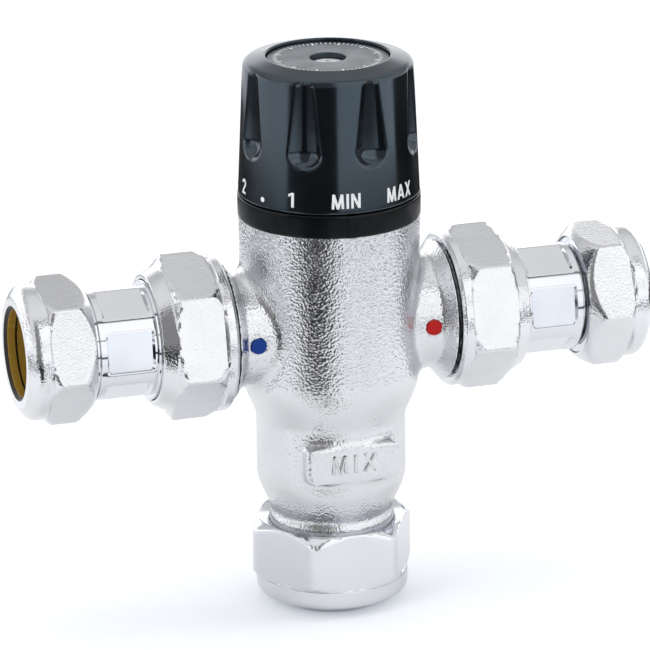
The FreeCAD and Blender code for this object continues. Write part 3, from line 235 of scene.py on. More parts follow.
def closed_grid(name: str, points: FloatArray) -> bpy.types.Object:
    """A surface through a grid of points that is closed both ways, like the skin of a ring.

    Each face joins a point to the next in its row, the next row and the next column, and the last rows and
    columns join to the first.

    Args:
        name: Name of the object.
        points: Points in millimetres, as (rows, columns, 3).

    Returns:
        The new object, smooth, with its faces outwards.
    """
    rows, columns = points.shape[:2]
    first = np.arange(rows)[:, None] * columns
    after = np.roll(first, -1, axis=0)
    column = np.arange(columns)[None, :]
    beside = np.roll(column, -1, axis=1)
    faces = np.stack([first + column, first + beside, after + beside, after + column], axis=-1).reshape(-1, 4)
    made = mesh_object(name, points.reshape(-1, 3) * MM, faces)
    turn_outwards(made)
    return made


def turn_outwards(piece: bpy.types.Object) -> None:
    """Flip every face of a closed piece if its enclosed volume, summed over its faces, comes out negative.

    Args:
        piece: The closed piece.
    """
    mesh = piece.data
    mesh.calc_loop_triangles()
    corners = np.empty(len(mesh.vertices) * 3)
    mesh.vertices.foreach_get("co", corners)
    corners = corners.reshape(-1, 3)
    triangles = np.empty(len(mesh.loop_triangles) * 3, np.int32)
    mesh.loop_triangles.foreach_get("vertices", triangles)
    spots = corners[triangles.reshape(-1, 3)]
    volume = np.einsum("ij,ij->i", spots[:, 0], np.cross(spots[:, 1], spots[:, 2])).sum()
    if volume < 0.0:
        mesh.flip_normals()


def shade_smooth(piece: bpy.types.Object, sharp_degrees: float) -> None:
    """Shade a piece smooth, apart from edges that turn by more than an angle."""
    piece.data.shade_smooth()
    piece.data.set_sharp_from_angle(angle=math.radians(sharp_degrees))


def hexagon_radius(angles: FloatArray, flats: float, rounding: float) -> FloatArray:
    """Radius of a hexagon at each angle from one of its corners.

    A flat at angle a from its middle lies at flats / 2 / cos(a). The two flats nearest to an angle are joined
    by the smooth lesser of their radii, which rounds the corner between them.

    Args:
        angles: Angles from a corner, in radians.
        flats: Distance across the flats.
        rounding: Width over which a corner is softened.

    Returns:
        Radii, in the unit of flats.
    """
    side = 2.0 * math.pi / HEX_SIDES
    from_corner = np.mod(angles + side / 2.0, side) - side / 2.0
    near = flats / 2.0 / np.cos(side / 2.0 - np.abs(from_corner))
    far = flats / 2.0 / np.cos(np.minimum(side / 2.0 + np.abs(from_corner), FARTHEST_FLAT))
    return smooth_min(near, far, rounding)


# --------------------------------------------------------------------------------------------------
# Finishes
# --------------------------------------------------------------------------------------------------

def linear_colour(code: str) -> tuple[float, float, float, float]:
    """Linear colour of an sRGB hex value such as #A0B1C2, by the sRGB transfer curve.

    Args:
        code: The hex value.

    Returns:
        Red, green and blue, and an opacity of 1.
    """
    shares = [int(code[start:start + 2], 16) / 255.0 for start in (1, 3, 5)]
    red, green, blue = (share / 12.92 if share <= 0.04045 else ((share + 0.055) / 1.055) ** 2.4
                        for share in shares)
    return red, green, blue, 1.0


def add_node(tree: bpy.types.NodeTree, kind: str, links: Linked | None = None, inputs: dict | None = None,
             **settings: object) -> bpy.types.Node:
    """Add one shader node with its settings, input values and links.

    Args:
        tree: The node tree to add to.
        kind: The node's type name.
        links: Sockets to connect, by the name or index of the new node's input.
        inputs: Values of unconnected inputs, by name or index.
        settings: Properties of the node itself.

    Returns:
        The new node.
    """
    node = tree.nodes.new(kind)
    for name, value in settings.items():
        setattr(node, name, value)
    for key, value in (inputs or {}).items():
        node.inputs[key].default_value = value
    for key, socket in (links or {}).items():
        tree.links.new(socket, node.inputs[key])
    return node


@dataclass(frozen=True)
class Finish:
    """A surface finish: what it is made of, and the marks that its making leaves.

    Colours are sRGB hex values. Sizes of patterns are in millimetres on the real surface.
    """

    name: str
    colour: str
    second_colour: str
    metallic: float
    roughness: float
    roughness_spread: float = 0.05
    mottle: float = 6.0
    grain: float = 0.0
    grain_height: float = 0.0
    pebble: float = 0.0
    pebble_height: float = 0.0
    turning: float = 0.0
    turning_height: float = 0.0
    turning_axis: str = "X"
    specular_level: float = 0.5
    specular_tint: str = "#FFFFFF"
    index: float | None = None

    # Where most of the noise's values lie, and the smoothest that a surface gets
    NOISE_SPAN: ClassVar[tuple[float, float]] = (0.3, 0.7)
    LEAST_ROUGHNESS: ClassVar[float] = 0.02

    def material(self) -> bpy.types.Material:
        """The finish as a node material, made once and then reused."""
        return bpy.data.materials.get(self.name) or self.built()

    def built(self) -> bpy.types.Material:
        """Build the node material.

        Returns:
            The new material: a mottled colour and roughness, with bumps for pebbles, grain and turning marks.
        """
        made = bpy.data.materials.new(self.name)
        made.use_nodes = True
        tree = made.node_tree
        tree.nodes.clear()
        place = add_node(tree, "ShaderNodeTexCoord").outputs["Object"]
        mottling = self.noise(tree, place, self.mottle, detail=3.0)
        colour = add_node(tree, "ShaderNodeMix", {"Factor": mottling},
                          {"A": linear_colour(self.colour), "B": linear_colour(self.second_colour)},
                          data_type="RGBA")
        smoothest = max(self.roughness - self.roughness_spread, self.LEAST_ROUGHNESS)
        rough = add_node(tree, "ShaderNodeMapRange", {"Value": mottling}, dict(zip(
            RAMP_SOCKETS, (*self.NOISE_SPAN, smoothest, self.roughness + self.roughness_spread))))
        shader = add_node(tree, "ShaderNodeBsdfPrincipled", {
            "Base Color": colour.outputs["Result"], "Roughness": rough.outputs["Result"]},
            {"Metallic": self.metallic, "Specular IOR Level": self.specular_level,
             "Specular Tint": linear_colour(self.specular_tint)})
        if self.index is not None:
            shader.inputs["IOR"].default_value = self.index
        self.relief(tree, place, shader)
        add_node(tree, "ShaderNodeOutputMaterial", {"Surface": shader.outputs["BSDF"]})
        return made

    @staticmethod
    def noise(tree: bpy.types.NodeTree, place: bpy.types.NodeSocket, size: float, detail: float = 2.0
              ) -> bpy.types.NodeSocket:
        """Soft noise whose blotches are about one size, in millimetres, across."""
        settings = {"Scale": 1.0 / (size * MM), "Detail": detail}
        return add_node(tree, "ShaderNodeTexNoise", {"Vector": place}, settings).outputs["Fac"]

    def relief(self, tree: bpy.types.NodeTree, place: bpy.types.NodeSocket, shader: bpy.types.Node) -> None:
        """Chain a bump node for each mark that the finish has, and link the last to the shader's normal.

        Args:
            tree: The material's node tree.
            place: Socket of the object's own coordinates.
            shader: The shader that the relief is for.
        """
        heights: list[tuple[bpy.types.NodeSocket, float]] = []
        if self.pebble_height:
            cells = add_node(tree, "ShaderNodeTexVoronoi", {"Vector": place},
                             {"Scale": 1.0 / (self.pebble * MM), "Smoothness": 0.6}, feature="SMOOTH_F1")
            heights.append((cells.outputs["Distance"], self.pebble_height))
            heights.append((self.noise(tree, place, self.pebble * 1.7), self.pebble_height))
        if self.grain_height:
            heights.append((self.noise(tree, place, self.grain), self.grain_height))
        if self.turning_height:
            split = add_node(tree, "ShaderNodeSeparateXYZ", {"Vector": place})
            lines = add_node(tree, "ShaderNodeMath", {0: split.outputs[self.turning_axis]},
                             {1: 1.0 / (self.turning * MM)}, operation="MULTIPLY")
            marks = add_node(tree, "ShaderNodeTexNoise", {"W": lines.outputs[0]}, {"Scale": 1.0, "Detail": 2.0},
                             noise_dimensions="1D")
            heights.append((marks.outputs["Fac"], self.turning_height))
        normal: bpy.types.NodeSocket | None = None
        for height, distance in heights:
            links: Linked = {"Height": height}
            if normal is not None:
                links["Normal"] = normal
            normal = add_node(tree, "ShaderNodeBump", links, {"Distance": distance * MM}).outputs["Normal"]
        if normal is not None:
            tree.links.new(normal, shader.inputs["Normal"])


# Brass, shell-moulded, tumbled and chrome plated: the sand leaves pebbles that break every reflection into
# specks.
CAST_CHROME = Finish("cast_chrome_plate", "#E3E4E7", "#D7D8DB", 1.0, 0.17, 0.05, mottle=9.0, pebble=0.6,
                     pebble_height=0.1, grain=0.3, grain_height=0.012)
# Brass, hot stamped and chrome plated: a lighter, flatter texture than the sand casting's.
STAMPED_CHROME = Finish("stamped_chrome_plate", "#E6E7EA", "#DADBDE", 1.0, 0.14, 0.04, mottle=7.0, pebble=0.45,
                        pebble_height=0.045, grain=0.25, grain_height=0.008)
# Brass, turned and chrome plated: a near mirror with fine rings round the axis.
TURNED_CHROME = Finish("turned_chrome_plate", "#E4E6EA", "#DADCE1", 1.0, 0.09, 0.03, mottle=14.0, turning=0.12,
                       turning_height=0.0012)
# The same, standing on end: the outlet nut is turned about the upright axis. Its colour is painted a touch
# lighter than the other turned chrome, as painted light that makes up for the shaded floor round its foot that
# it reflects.
LIGHTENED_TURNED_CHROME_UPRIGHT = Finish("turned_chrome_plate_upright_lightened", "#E9EBEF", "#DFE1E6", 1.0, 0.1, 0.03, mottle=14.0,
                               turning=0.12, turning_height=0.0012, turning_axis="Z")
# The chamfer at the mouth, where the plating ends: painted shade, a thin near-black rim coloured in for the
# shadow and dark reflection on that edge. Its grain bump is real.
PAINTED_SHADE_MOUTH_RIM = Finish("painted_shade_mouth_rim", "#1F1A14", "#2B241B", 0.3, 0.5, 0.05, mottle=1.0, grain=0.2,
                     grain_height=0.004)
# Bare machined brass inside the mouths, dulled by air and water: yellow, and more matt than polished brass.
BARE_BRASS = Finish("bare_brass", "#CFAA4A", "#A88332", 0.6, 0.45, 0.1, mottle=2.0, turning=0.2,
                    turning_height=0.004)
# Glass-filled nylon, moulded in a polished tool: deep black with a broad soft gloss.
MOULDED_NYLON = Finish("moulded_black_nylon", "#07090A", "#0B0E10", 0.0, 0.15, 0.03, mottle=12.0, grain=0.5,
                       grain_height=0.0015, index=1.6, specular_level=0.9, specular_tint="#CDE6FA")
# Acetal, moulded: the ring is a shade duller than the knob.
MOULDED_ACETAL = Finish("moulded_black_acetal", "#090B0C", "#0E1113", 0.0, 0.2, 0.05, mottle=8.0, grain=0.4,
                        grain_height=0.002, index=1.48, specular_level=0.25)
# Polycarbonate film, back printed dark grey: satin.
PRINTED_FILM = Finish("dark_printed_film", "#1B2023", "#212629", 0.0, 0.34, 0.05, mottle=5.0, grain=0.12,
                      grain_height=0.001, index=1.58, specular_level=0.85, specular_tint="#CDE6FA")
# Pad-printing ink: flat white with faint thin spots.
WHITE_INK = Finish("white_pad_ink", "#F2F4F6", "#E4E8EB", 0.0, 0.5, 0.06, mottle=1.5, grain=0.15,
                   grain_height=0.001)
# Steel, zinc plated: a pale, slightly cloudy metal that stays light in the well.
ZINC_PLATE = Finish("zinc_plated_steel", "#E6E7E9", "#D2D4D7", 0.5, 0.45, 0.08, mottle=1.0, grain=0.2,
                    grain_height=0.003)
# The cast letters: their faces are rubbed in tumbling, so they are smoother than the field round them.
RUBBED_CHROME = Finish("rubbed_chrome_plate", "#E3E4E7", "#D7D8DB", 1.0, 0.2, 0.04, mottle=5.0, grain=0.5,
                       grain_height=0.006)
# Stainless steel, turned: a warm grey metal with fine rings.
STAINLESS_STEEL = Finish("turned_stainless_steel", "#C9C8C6", "#B5B4B2", 1.0, 0.22, 0.06, mottle=3.0,
                         turning=0.15, turning_height=0.002, turning_axis="Z")
# Spring steel, drawn: grey with the faint lines of the die.
SPRING_STEEL = Finish("drawn_spring_wire", "#B4B5B8", "#9A9B9F", 1.0, 0.28, 0.06, mottle=2.0, grain=0.2,
                      grain_height=0.002)
# Copper, drawn: reddish and lightly tarnished.
COPPER_CAPSULE = Finish("drawn_copper_capsule", "#C07C52", "#9E5F3C", 1.0, 0.3, 0.08, mottle=4.0, turning=0.2,
                        turning_height=0.002, turning_axis="Z")
# Rubber, moulded: a matt near black.
SEAL_RUBBER = Finish("moulded_seal_rubber", "#1A1A1B", "#232324", 0.0, 0.55, 0.06, mottle=2.0, grain=0.2,
                     grain_height=0.004)
# Fibre, pressed: a dull brick red with a faint grain.
PRESSED_FIBRE = Finish("pressed_red_fibre", "#7C3B2C", "#8E4A38", 0.0, 0.75, 0.06, mottle=1.5, grain=0.25,
                       grain_height=0.01)
# Engineering polymer, moulded: a warm ivory with a soft gloss.
SHUTTER_POLYMER = Finish("moulded_ivory_polymer", "#D9D0B8", "#CFC5AA", 0.0, 0.4, 0.05, mottle=5.0, grain=0.3,
                         grain_height=0.002)
# Acetal, moulded white: even and faintly waxy.
CAGE_ACETAL = Finish("moulded_white_acetal", "#E3E4E2", "#D8D9D6", 0.0, 0.38, 0.05, mottle=5.0, grain=0.3,
                     grain_height=0.002)
# Coloured plastic, moulded: the two dots, satin and deep in colour.
BLUE_MARKER = Finish("blue_moulded_marker", "#0B3790", "#0E3A88", 0.0, 0.4, 0.05, mottle=1.0, grain=0.15,
                     grain_height=0.002, specular_level=0.2)
RED_MARKER = Finish("red_moulded_marker", "#BE1614", "#B41513", 0.0, 0.4, 0.05, mottle=1.0, grain=0.15,
                    grain_height=0.002, specular_level=0.2)


class Dresser:
    """Gives each node of the frame that stays in view, and each sealed inner one, its finish."""

    NODE_FINISH: dict[str, Finish] = {
        "bonnet": BARE_BRASS, "bonnet_o_ring": SEAL_RUBBER, "spindle": BARE_BRASS,
        "spindle_o_ring": SEAL_RUBBER, "knob_screw": STAINLESS_STEEL, "spring_carrier": BARE_BRASS,
        "carrier_clip": SPRING_STEEL, "thrust_pad": STAINLESS_STEEL, "element_piston": STAINLESS_STEEL,
        "wax_element": COPPER_CAPSULE,
        "shutter": SHUTTER_POLYMER, "shutter_o_ring": SEAL_RUBBER, "seat_ring": STAINLESS_STEEL,
        "spring_plate": STAINLESS_STEEL, "overtravel_spring": SPRING_STEEL, "return_spring": SPRING_STEEL,
        "outlet_olive": BARE_BRASS, "cold_marker": BLUE_MARKER, "hot_marker": RED_MARKER,
    }
    SIDE_FINISH: dict[str, Finish] = {
        "union_gasket": PRESSED_FIBRE, "strainer": STAINLESS_STEEL, "check_valve_cage": CAGE_ACETAL,
        "check_valve_poppet": CAGE_ACETAL, "check_valve_spring": SPRING_STEEL, "olive": BARE_BRASS,
    }

    def __init__(self, nodes: dict[str, bpy.types.Object]) -> None:
        """Keep the frame's nodes, by name."""
        self.nodes = nodes

    def finish_of(self, node: str) -> Finish:
        """The finish of a node: its own, or that of its kind on either side, or cast chrome."""
        kind = node.removeprefix("cold_").removeprefix("hot_")
        return self.NODE_FINISH.get(node) or self.SIDE_FINISH.get(kind) or CAST_CHROME

    def dress(self) -> None:
        """Put each node's finish in its material slots."""
        for name, node in self.nodes.items():
            finish = self.finish_of(name).material()
            node.data.materials.clear()
            node.data.materials.append(finish)
            LOG.info("node %s is %s", name, finish.name)


# --------------------------------------------------------------------------------------------------
# Sub-assemblies
# --------------------------------------------------------------------------------------------------

def settle(piece: bpy.types.Object, finish: Finish, body: str, replaced: Sequence[str] = ()) -> None:
    """Dress a finished piece, let it ride on its body, and hide the nodes of the frame that it stands for.

    Args:
        piece: The piece, in place.
        finish: Its finish.
        body: Name of the body that it moves with.
        replaced: Nodes of the frame that the piece stands for.
    """
    piece.data.materials.clear()
    piece.data.materials.append(finish.material())
    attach(piece, body)
    if replaced:
        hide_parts(*replaced)
    LOG.info("piece %s: %d faces, on %s", piece.name, len(piece.data.polygons), body)


@dataclass
class TurnedPiece:
    """A ring-shaped piece turned about an axis, with hexagons and flats milled or stamped on some stretches."""

    name: str
    axis: Axis
    corners: Sequence[Corner]
    centre_height: float = 0.0
    step: float = 0.7
    turns: int = 240
    sharp_degrees: float = 38.0
    # Bands of colour inside the bore, by finish and greatest radius; one of them may be painted shade
    linings: Sequence[tuple[Finish, float]] = ()

    def angles(self) -> FloatArray:
        """Angles of the columns about the axis."""
        return np.arange(self.turns) * 2.0 * math.pi / self.turns

    def shaped_radius(self, along: FloatArray, radius: FloatArray, angles: FloatArray) -> FloatArray:
        """Radius at each point: here the turned outline's own, the same all round."""
        return radius + 0.0 * angles

    def build(self) -> bpy.types.Object:
        """Build the piece: its outline is carried round the axis, and each radius is shaped by its angle.

        Returns:
            The piece as a closed smooth surface.
        """
        outline = rounded_outline(self.corners, self.step)
        along, radius = outline[:, :1], outline[:, 1:]
        angles = self.angles()[None, :]
        shaped = self.shaped_radius(along, radius, angles)
        points = self.axis.placed(along + 0.0 * angles, shaped * np.cos(angles), shaped * np.sin(angles))
        points[..., 2] += self.centre_height
        made = closed_grid(self.name, points)
        shade_smooth(made, self.sharp_degrees)
        return made

    def line(self, made: bpy.types.Object) -> None:
        """Give each row of faces that lies inside a band's radius that band's material: a real finish such as
        bare brass, or painted shade such as the dark rim at a mouth.

        Args:
            made: The piece, which already has its own finish.
        """
        radius = rounded_outline(self.corners, self.step)[:, 1]
        outer = np.maximum(radius, np.roll(radius, -1))
        rows = np.zeros(len(radius), dtype=np.int32)
        for finish, limit in self.linings:
            made.data.materials.append(finish.material())
            rows += outer < limit
        made.data.polygons.foreach_set("material_index", np.repeat(rows, len(self.angles())))


@dataclass
class HexagonNut(TurnedPiece):
    """A nut: a turned blank with a hexagon over one stretch, its corners turned off in cones at both ends."""

    flats: float = 37.0
    first_corner_degrees: float = 0.0
    hexagon_start: float = 0.0
    hexagon_end: float = 0.0
    start_radius: float = 20.0
    start_run: float = 0.8
    end_radius: float = 20.0
    end_run: float = 1.4
    corner_rounding: float = 0.5
    edge_rounding: float = 0.35
    step_width: float = 0.3
    bore_limit: float = 17.0

    # Columns added close to each corner, in degrees from it, so that its small rounding is smooth
    CLOSE_COLUMNS: ClassVar[tuple[float, float]] = (0.35, 0.75)

    def angles(self) -> FloatArray:
        """Angles of the columns: even ones from a corner on, and close pairs beside each corner.

        Returns:
            The angles, in radians.
        """
        side = 360.0 / HEX_SIDES
        even = np.linspace(0.0, side, self.turns // HEX_SIDES + 1)[:-1]
        close = np.array(self.CLOSE_COLUMNS)
        one = np.sort(np.concatenate([even, close, side - close]))
        around = one[None, :] + np.arange(HEX_SIDES)[:, None] * side
        return np.radians(around.ravel() + self.first_corner_degrees)

    def shaped_radius(self, along: FloatArray, radius: FloatArray, angles: FloatArray) -> FloatArray:
        """Radius of the hexagon where it runs and of the blank elsewhere.

        Within the hexagon's stretch the radius is the smooth lesser of the hexagon's and of two cones that
        turn its corners off. Over step_width at each end it passes to the blank's radius by a smooth step.
        The bore, which lies under bore_limit, stays round.

        Args:
            along: Distance along the axis, as a column.
            radius: The outline's radius, as a column.
            angles: Angles of the columns, in radians.

        Returns:
            Radii at each row and column.
        """
        corner = math.radians(self.first_corner_degrees)
        hexagon = hexagon_radius(angles - corner, self.flats, self.corner_rounding)
        tall = self.flats / math.sqrt(3.0)
        rise = (tall - self.start_radius) / self.start_run
        fall = (tall - self.end_radius) / self.end_run
        cones = smooth_min(self.start_radius + (along - self.hexagon_start) * rise,
                           self.end_radius + (self.hexagon_end - along) * fall, self.edge_rounding)
        stamped = smooth_min(hexagon, cones, self.edge_rounding)
        inside = smooth_step(along, self.hexagon_start - self.step_width, self.hexagon_start)
        inside = inside * (1.0 - smooth_step(along, self.hexagon_end, self.hexagon_end + self.step_width))
        shaped = radius + (stamped - radius) * inside
        return np.where(radius < self.bore_limit, radius + 0.0 * angles, shaped)


@dataclass
class FlatsTail(TurnedPiece):
    """A turned tail with six spanner flats milled into one stretch of it."""

    flats: float = 25.8
    first_corner_degrees: float = 0.0
    flats_start: float = 0.0
    flats_end: float = 0.0
    corner_rounding: float = 0.05
    step_width: float = 0.12
    bore_limit: float = 12.0

    def shaped_radius(self, along: FloatArray, radius: FloatArray, angles: FloatArray) -> FloatArray:
        """Radius of the turning, cut down to the hexagon's radius between the two ends of the flats.

        Args:
            along: Distance along the axis, as a column.
            radius: The outline's radius, as a column.
            angles: Angles of the columns, in radians.

        Returns:
            Radii at each row and column.
        """
        corner = math.radians(self.first_corner_degrees)
        hexagon = hexagon_radius(angles - corner, self.flats, self.corner_rounding)
        milled = np.minimum(radius, hexagon)
        inside = smooth_step(along, self.flats_start - self.step_width, self.flats_start)
        inside = inside * (1.0 - smooth_step(along, self.flats_end, self.flats_end + self.step_width))
        shaped = radius + (milled - radius) * inside
        return np.where(radius < self.bore_limit, radius + 0.0 * angles, shaped)


@dataclass
class Inlets:
    """Both inlets: the union nut, the tail with its spanner flats, and the compression nut of each."""

    tube_radius: float = 11.1
    mouth_chamfer: float = 0.9
    union_flats: float = 37.0
    union_corner: dict[str, float] = field(default_factory=lambda: {"cold": 13.3, "hot": 46.2})
    union_insets: tuple[float, float] = (3.3, 3.7)
    union_collar: float = 20.0
    union_bevel: float = 0.8
    union_nose: tuple[float, float] = (18.5, 16.6)
    union_bore: float = 16.6
    union_lip: float = 15.5
    union_lip_length: float = 5.5
    thread_chamfer: float = 1.2
    tail_corner: dict[str, float] = field(default_factory=lambda: {"cold": 6.5, "hot": 53.5})
    flange_radius: float = 16.3
    flange_length: float = 4.0
    neck_radius: float = 15.3
    neck_stand: float = 0.8
    body_radius: float = 14.0
    flats_margins: tuple[float, float] = (0.6, 2.0)
    undercut_radius: float = 13.4
    undercut_run: tuple[float, float] = (1.0, 1.6)
    tail_thread: float = 15.0
    tail_thread_length: float = 11.8
    socket_chamfer: tuple[float, float] = (1.8, 1.5)
    waterway_radius: float = 10.1
    stop_depth: float = 17.0
    stop_radius: float = 9.6
    stop_length: float = 1.5
    end_flats: float = 33.0
    end_corner: dict[str, float] = field(default_factory=lambda: {"cold": 18.6, "hot": 34.4})
    end_collar: float = 17.3
    end_collar_length: float = 6.0
    shoulder_run: float = 2.0
    shoulder_rounding: float = 2.6
    end_face_radius: float = 14.2
    end_thread: float = 15.1
    end_thread_mouth: float = 15.25
    land_depth: float = 2.8
    cone_depth: float = 5.7

    def build(self) -> None:
        """Build the pieces of both sides."""
        for side, axis in (("cold", Axis.COLD), ("hot", Axis.HOT)):
            self.union_nut(side, axis)
            self.union_tail(side, axis)
            self.compression_nut(side, axis)

    @staticmethod
    def span(node: str) -> tuple[float, float, float]:
        """Where a node of an inlet lies.

        Args:
            node: Name of the node.

        Returns:
            Its nearest and farthest distance from the spindle axis, and the height of its own axis.
        """
        low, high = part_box(node)
        ends = sorted((abs(low.x) / MM, abs(high.x) / MM))
        return ends[0], ends[1], (low.z + high.z) / 2.0 / MM

    @staticmethod
    def column_angle(side: str, degrees: float) -> float:
        """Angle of a hexagon's corner in the grid's own terms, from its angle about the laid axis."""
        return 90.0 + degrees if side == "cold" else -90.0 + degrees

    def union_nut(self, side: str, axis: Axis) -> None:
        """The union nut: bevelled collar, stamped hexagon and coned nose over an inner lip.

        Args:
            side: Which inlet, cold or hot.
            axis: Which way that inlet points.
        """
        start, end, height = self.span(f"{side}_union_nut")
        hexagon_start, hexagon_end = start + self.union_insets[0], end - self.union_insets[1]
        core = self.union_flats / 2.0 - BLANK_INSET
        collar, bevel, bore, lip = self.union_collar, self.union_bevel, self.union_bore, self.union_lip
        lip_start = end - self.union_lip_length
        nut = HexagonNut(
            f"{side}_stamped_union_nut", axis,
            [Corner(start, bore + self.thread_chamfer, 0.2), Corner(start, collar - bevel, 0.3),
             Corner(start + bevel, collar, 0.3), Corner(hexagon_start - SHOULDER_RUN, collar),
             Corner(hexagon_start, core), Corner(hexagon_end - SHOULDER_RUN, core),
             Corner(hexagon_end, self.union_nose[0]), Corner(end, self.union_nose[1], 0.5),
             Corner(end, lip, 0.15), Corner(lip_start, lip), Corner(lip_start, bore),
             Corner(start + self.thread_chamfer, bore)],
            centre_height=height, flats=self.union_flats,
            first_corner_degrees=self.column_angle(side, self.union_corner[side]),
            hexagon_start=hexagon_start, hexagon_end=hexagon_end, start_radius=20.0, start_run=2.2,
            end_radius=18.5, end_run=1.5)
        settle(nut.build(), STAMPED_CHROME, "root", [f"{side}_union_nut"])

    def union_tail(self, side: str, axis: Axis) -> None:
        """The tail: flange in the union nut, neck, milled flats, thread, and the socket for the tube.

        Args:
            side: Which inlet, cold or hot.
            axis: Which way that inlet points.
        """
        start, end, height = self.span(f"{side}_union_tail")
        neck_end = self.span(f"{side}_union_nut")[1] + self.neck_stand
        body_end = end - self.tail_thread_length
        stop, flange_end = start + self.stop_depth, start + self.flange_length
        tail = FlatsTail(
            f"{side}_turned_tail", axis,
            [Corner(start, self.waterway_radius), Corner(start, self.flange_radius, 0.2),
             Corner(flange_end, self.flange_radius, 0.2), Corner(flange_end, self.neck_radius),
             Corner(neck_end, self.neck_radius, 0.25), Corner(neck_end, self.body_radius),
             Corner(body_end, self.body_radius, 0.2), Corner(body_end, self.undercut_radius),
             Corner(body_end + self.undercut_run[0], self.undercut_radius),
             Corner(body_end + self.undercut_run[1], self.tail_thread), Corner(end, self.tail_thread, 0.3),
             Corner(end, self.tube_radius + self.socket_chamfer[1]),
             Corner(end - self.socket_chamfer[0], self.tube_radius), Corner(stop, self.tube_radius),
             Corner(stop, self.stop_radius), Corner(stop - self.stop_length, self.stop_radius),
             Corner(stop - self.stop_length, self.waterway_radius)],
            centre_height=height, step=0.5, flats_start=neck_end + self.flats_margins[0],
            flats_end=body_end - self.flats_margins[1],
            first_corner_degrees=self.column_angle(side, self.tail_corner[side]), sharp_degrees=25.0)
        settle(tail.build(), TURNED_CHROME, "root", [f"{side}_union_tail"])

    def compression_nut(self, side: str, axis: Axis) -> None:
        """The compression nut: stamped hexagon inwards, round collar and curved shoulder outwards.

        Args:
            side: Which inlet, cold or hot.
            axis: Which way that inlet points.
        """
        start, end, height = self.span(f"{side}_compression_nut")
        hexagon_end = end - self.end_collar_length
        core = self.end_flats / 2.0 - BLANK_INSET
        chamfer, tube = self.mouth_chamfer, self.tube_radius
        nut = HexagonNut(
            f"{side}_stamped_compression_nut", axis,
            [Corner(start, self.end_thread_mouth), Corner(start, core, 0.2), Corner(hexagon_end, core),
             Corner(hexagon_end + SHOULDER_RUN, self.end_collar),
             Corner(end - self.shoulder_run, self.end_collar, self.shoulder_rounding),
             Corner(end, self.end_face_radius, 0.5), Corner(end, tube + chamfer, 0.2),
             Corner(end - chamfer, tube, 0.2), Corner(end - self.land_depth, tube),
             Corner(end - self.cone_depth, self.end_thread),
             Corner(start + self.thread_chamfer, self.end_thread)],
            centre_height=height, flats=self.end_flats,
            first_corner_degrees=self.column_angle(side, self.end_corner[side]),
            hexagon_start=start, hexagon_end=hexagon_end, start_radius=15.6, start_run=3.7,
            end_radius=17.5, end_run=1.3, bore_limit=15.9,
            # The first band is painted shade: the mouth's chamfer is coloured near black for its shadow. The
            # second is the real bare brass inside.
            linings=((PAINTED_SHADE_MOUTH_RIM, tube + 1.0), (BARE_BRASS, tube + 0.2)))
        made = nut.build()
        settle(made, STAMPED_CHROME, "root", [f"{side}_compression_nut"])
        nut.line(made)


@dataclass
class Outlet:
    """The outlet's compression nut: a tall smooth hexagon over a round collar with a curved shoulder."""

    flats: float = 38.0
    first_corner_degrees: float = -58.6
    tube_radius: float = 11.1
    mouth_chamfer: float = 0.9
    thread_chamfer: float = 1.2
    hexagon_foot: float = 7.6
    top_face_radius: float = 17.5
    collar_radius: float = 19.7
    shoulder_run: float = 3.3
    shoulder_rounding: float = 2.6
    foot_face_radius: float = 13.4
    land_depth: float = 4.8
    cone_depth: float = 7.7
    thread_radius: float = 16.3

    def build(self) -> None:
        """Build the nut, standing on the face that its tube leaves by."""
        low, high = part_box("outlet_nut")
        foot, top = low.z / MM, high.z / MM
        core = self.flats / 2.0 - BLANK_INSET
        chamfer, tube = self.mouth_chamfer, self.tube_radius
        nut = HexagonNut(
            "turned_outlet_nut", Axis.UP,
            [Corner(top, self.top_face_radius, 0.2), Corner(top, core, 0.2), Corner(self.hexagon_foot, core),
             Corner(self.hexagon_foot - SHOULDER_RUN, self.collar_radius),
             Corner(foot + self.shoulder_run, self.collar_radius, self.shoulder_rounding),
             Corner(foot, self.foot_face_radius, 0.5), Corner(foot, tube + chamfer, 0.2),
             Corner(foot + chamfer, tube, 0.2), Corner(foot + self.land_depth, tube),
             Corner(foot + self.cone_depth, self.thread_radius),
             Corner(top - self.thread_chamfer, self.thread_radius)],
            flats=self.flats, first_corner_degrees=self.first_corner_degrees, hexagon_start=self.hexagon_foot,
            hexagon_end=top, start_radius=19.8, start_run=1.7, end_radius=18.9, end_run=2.7,
            corner_rounding=2.2, step_width=0.12)
        # The outlet nut's chrome is painted lighter than the other turned chrome, as painted light for the shade
        # that it reflects.
        settle(nut.build(), LIGHTENED_TURNED_CHROME_UPRIGHT, "root", ["outlet_nut"])


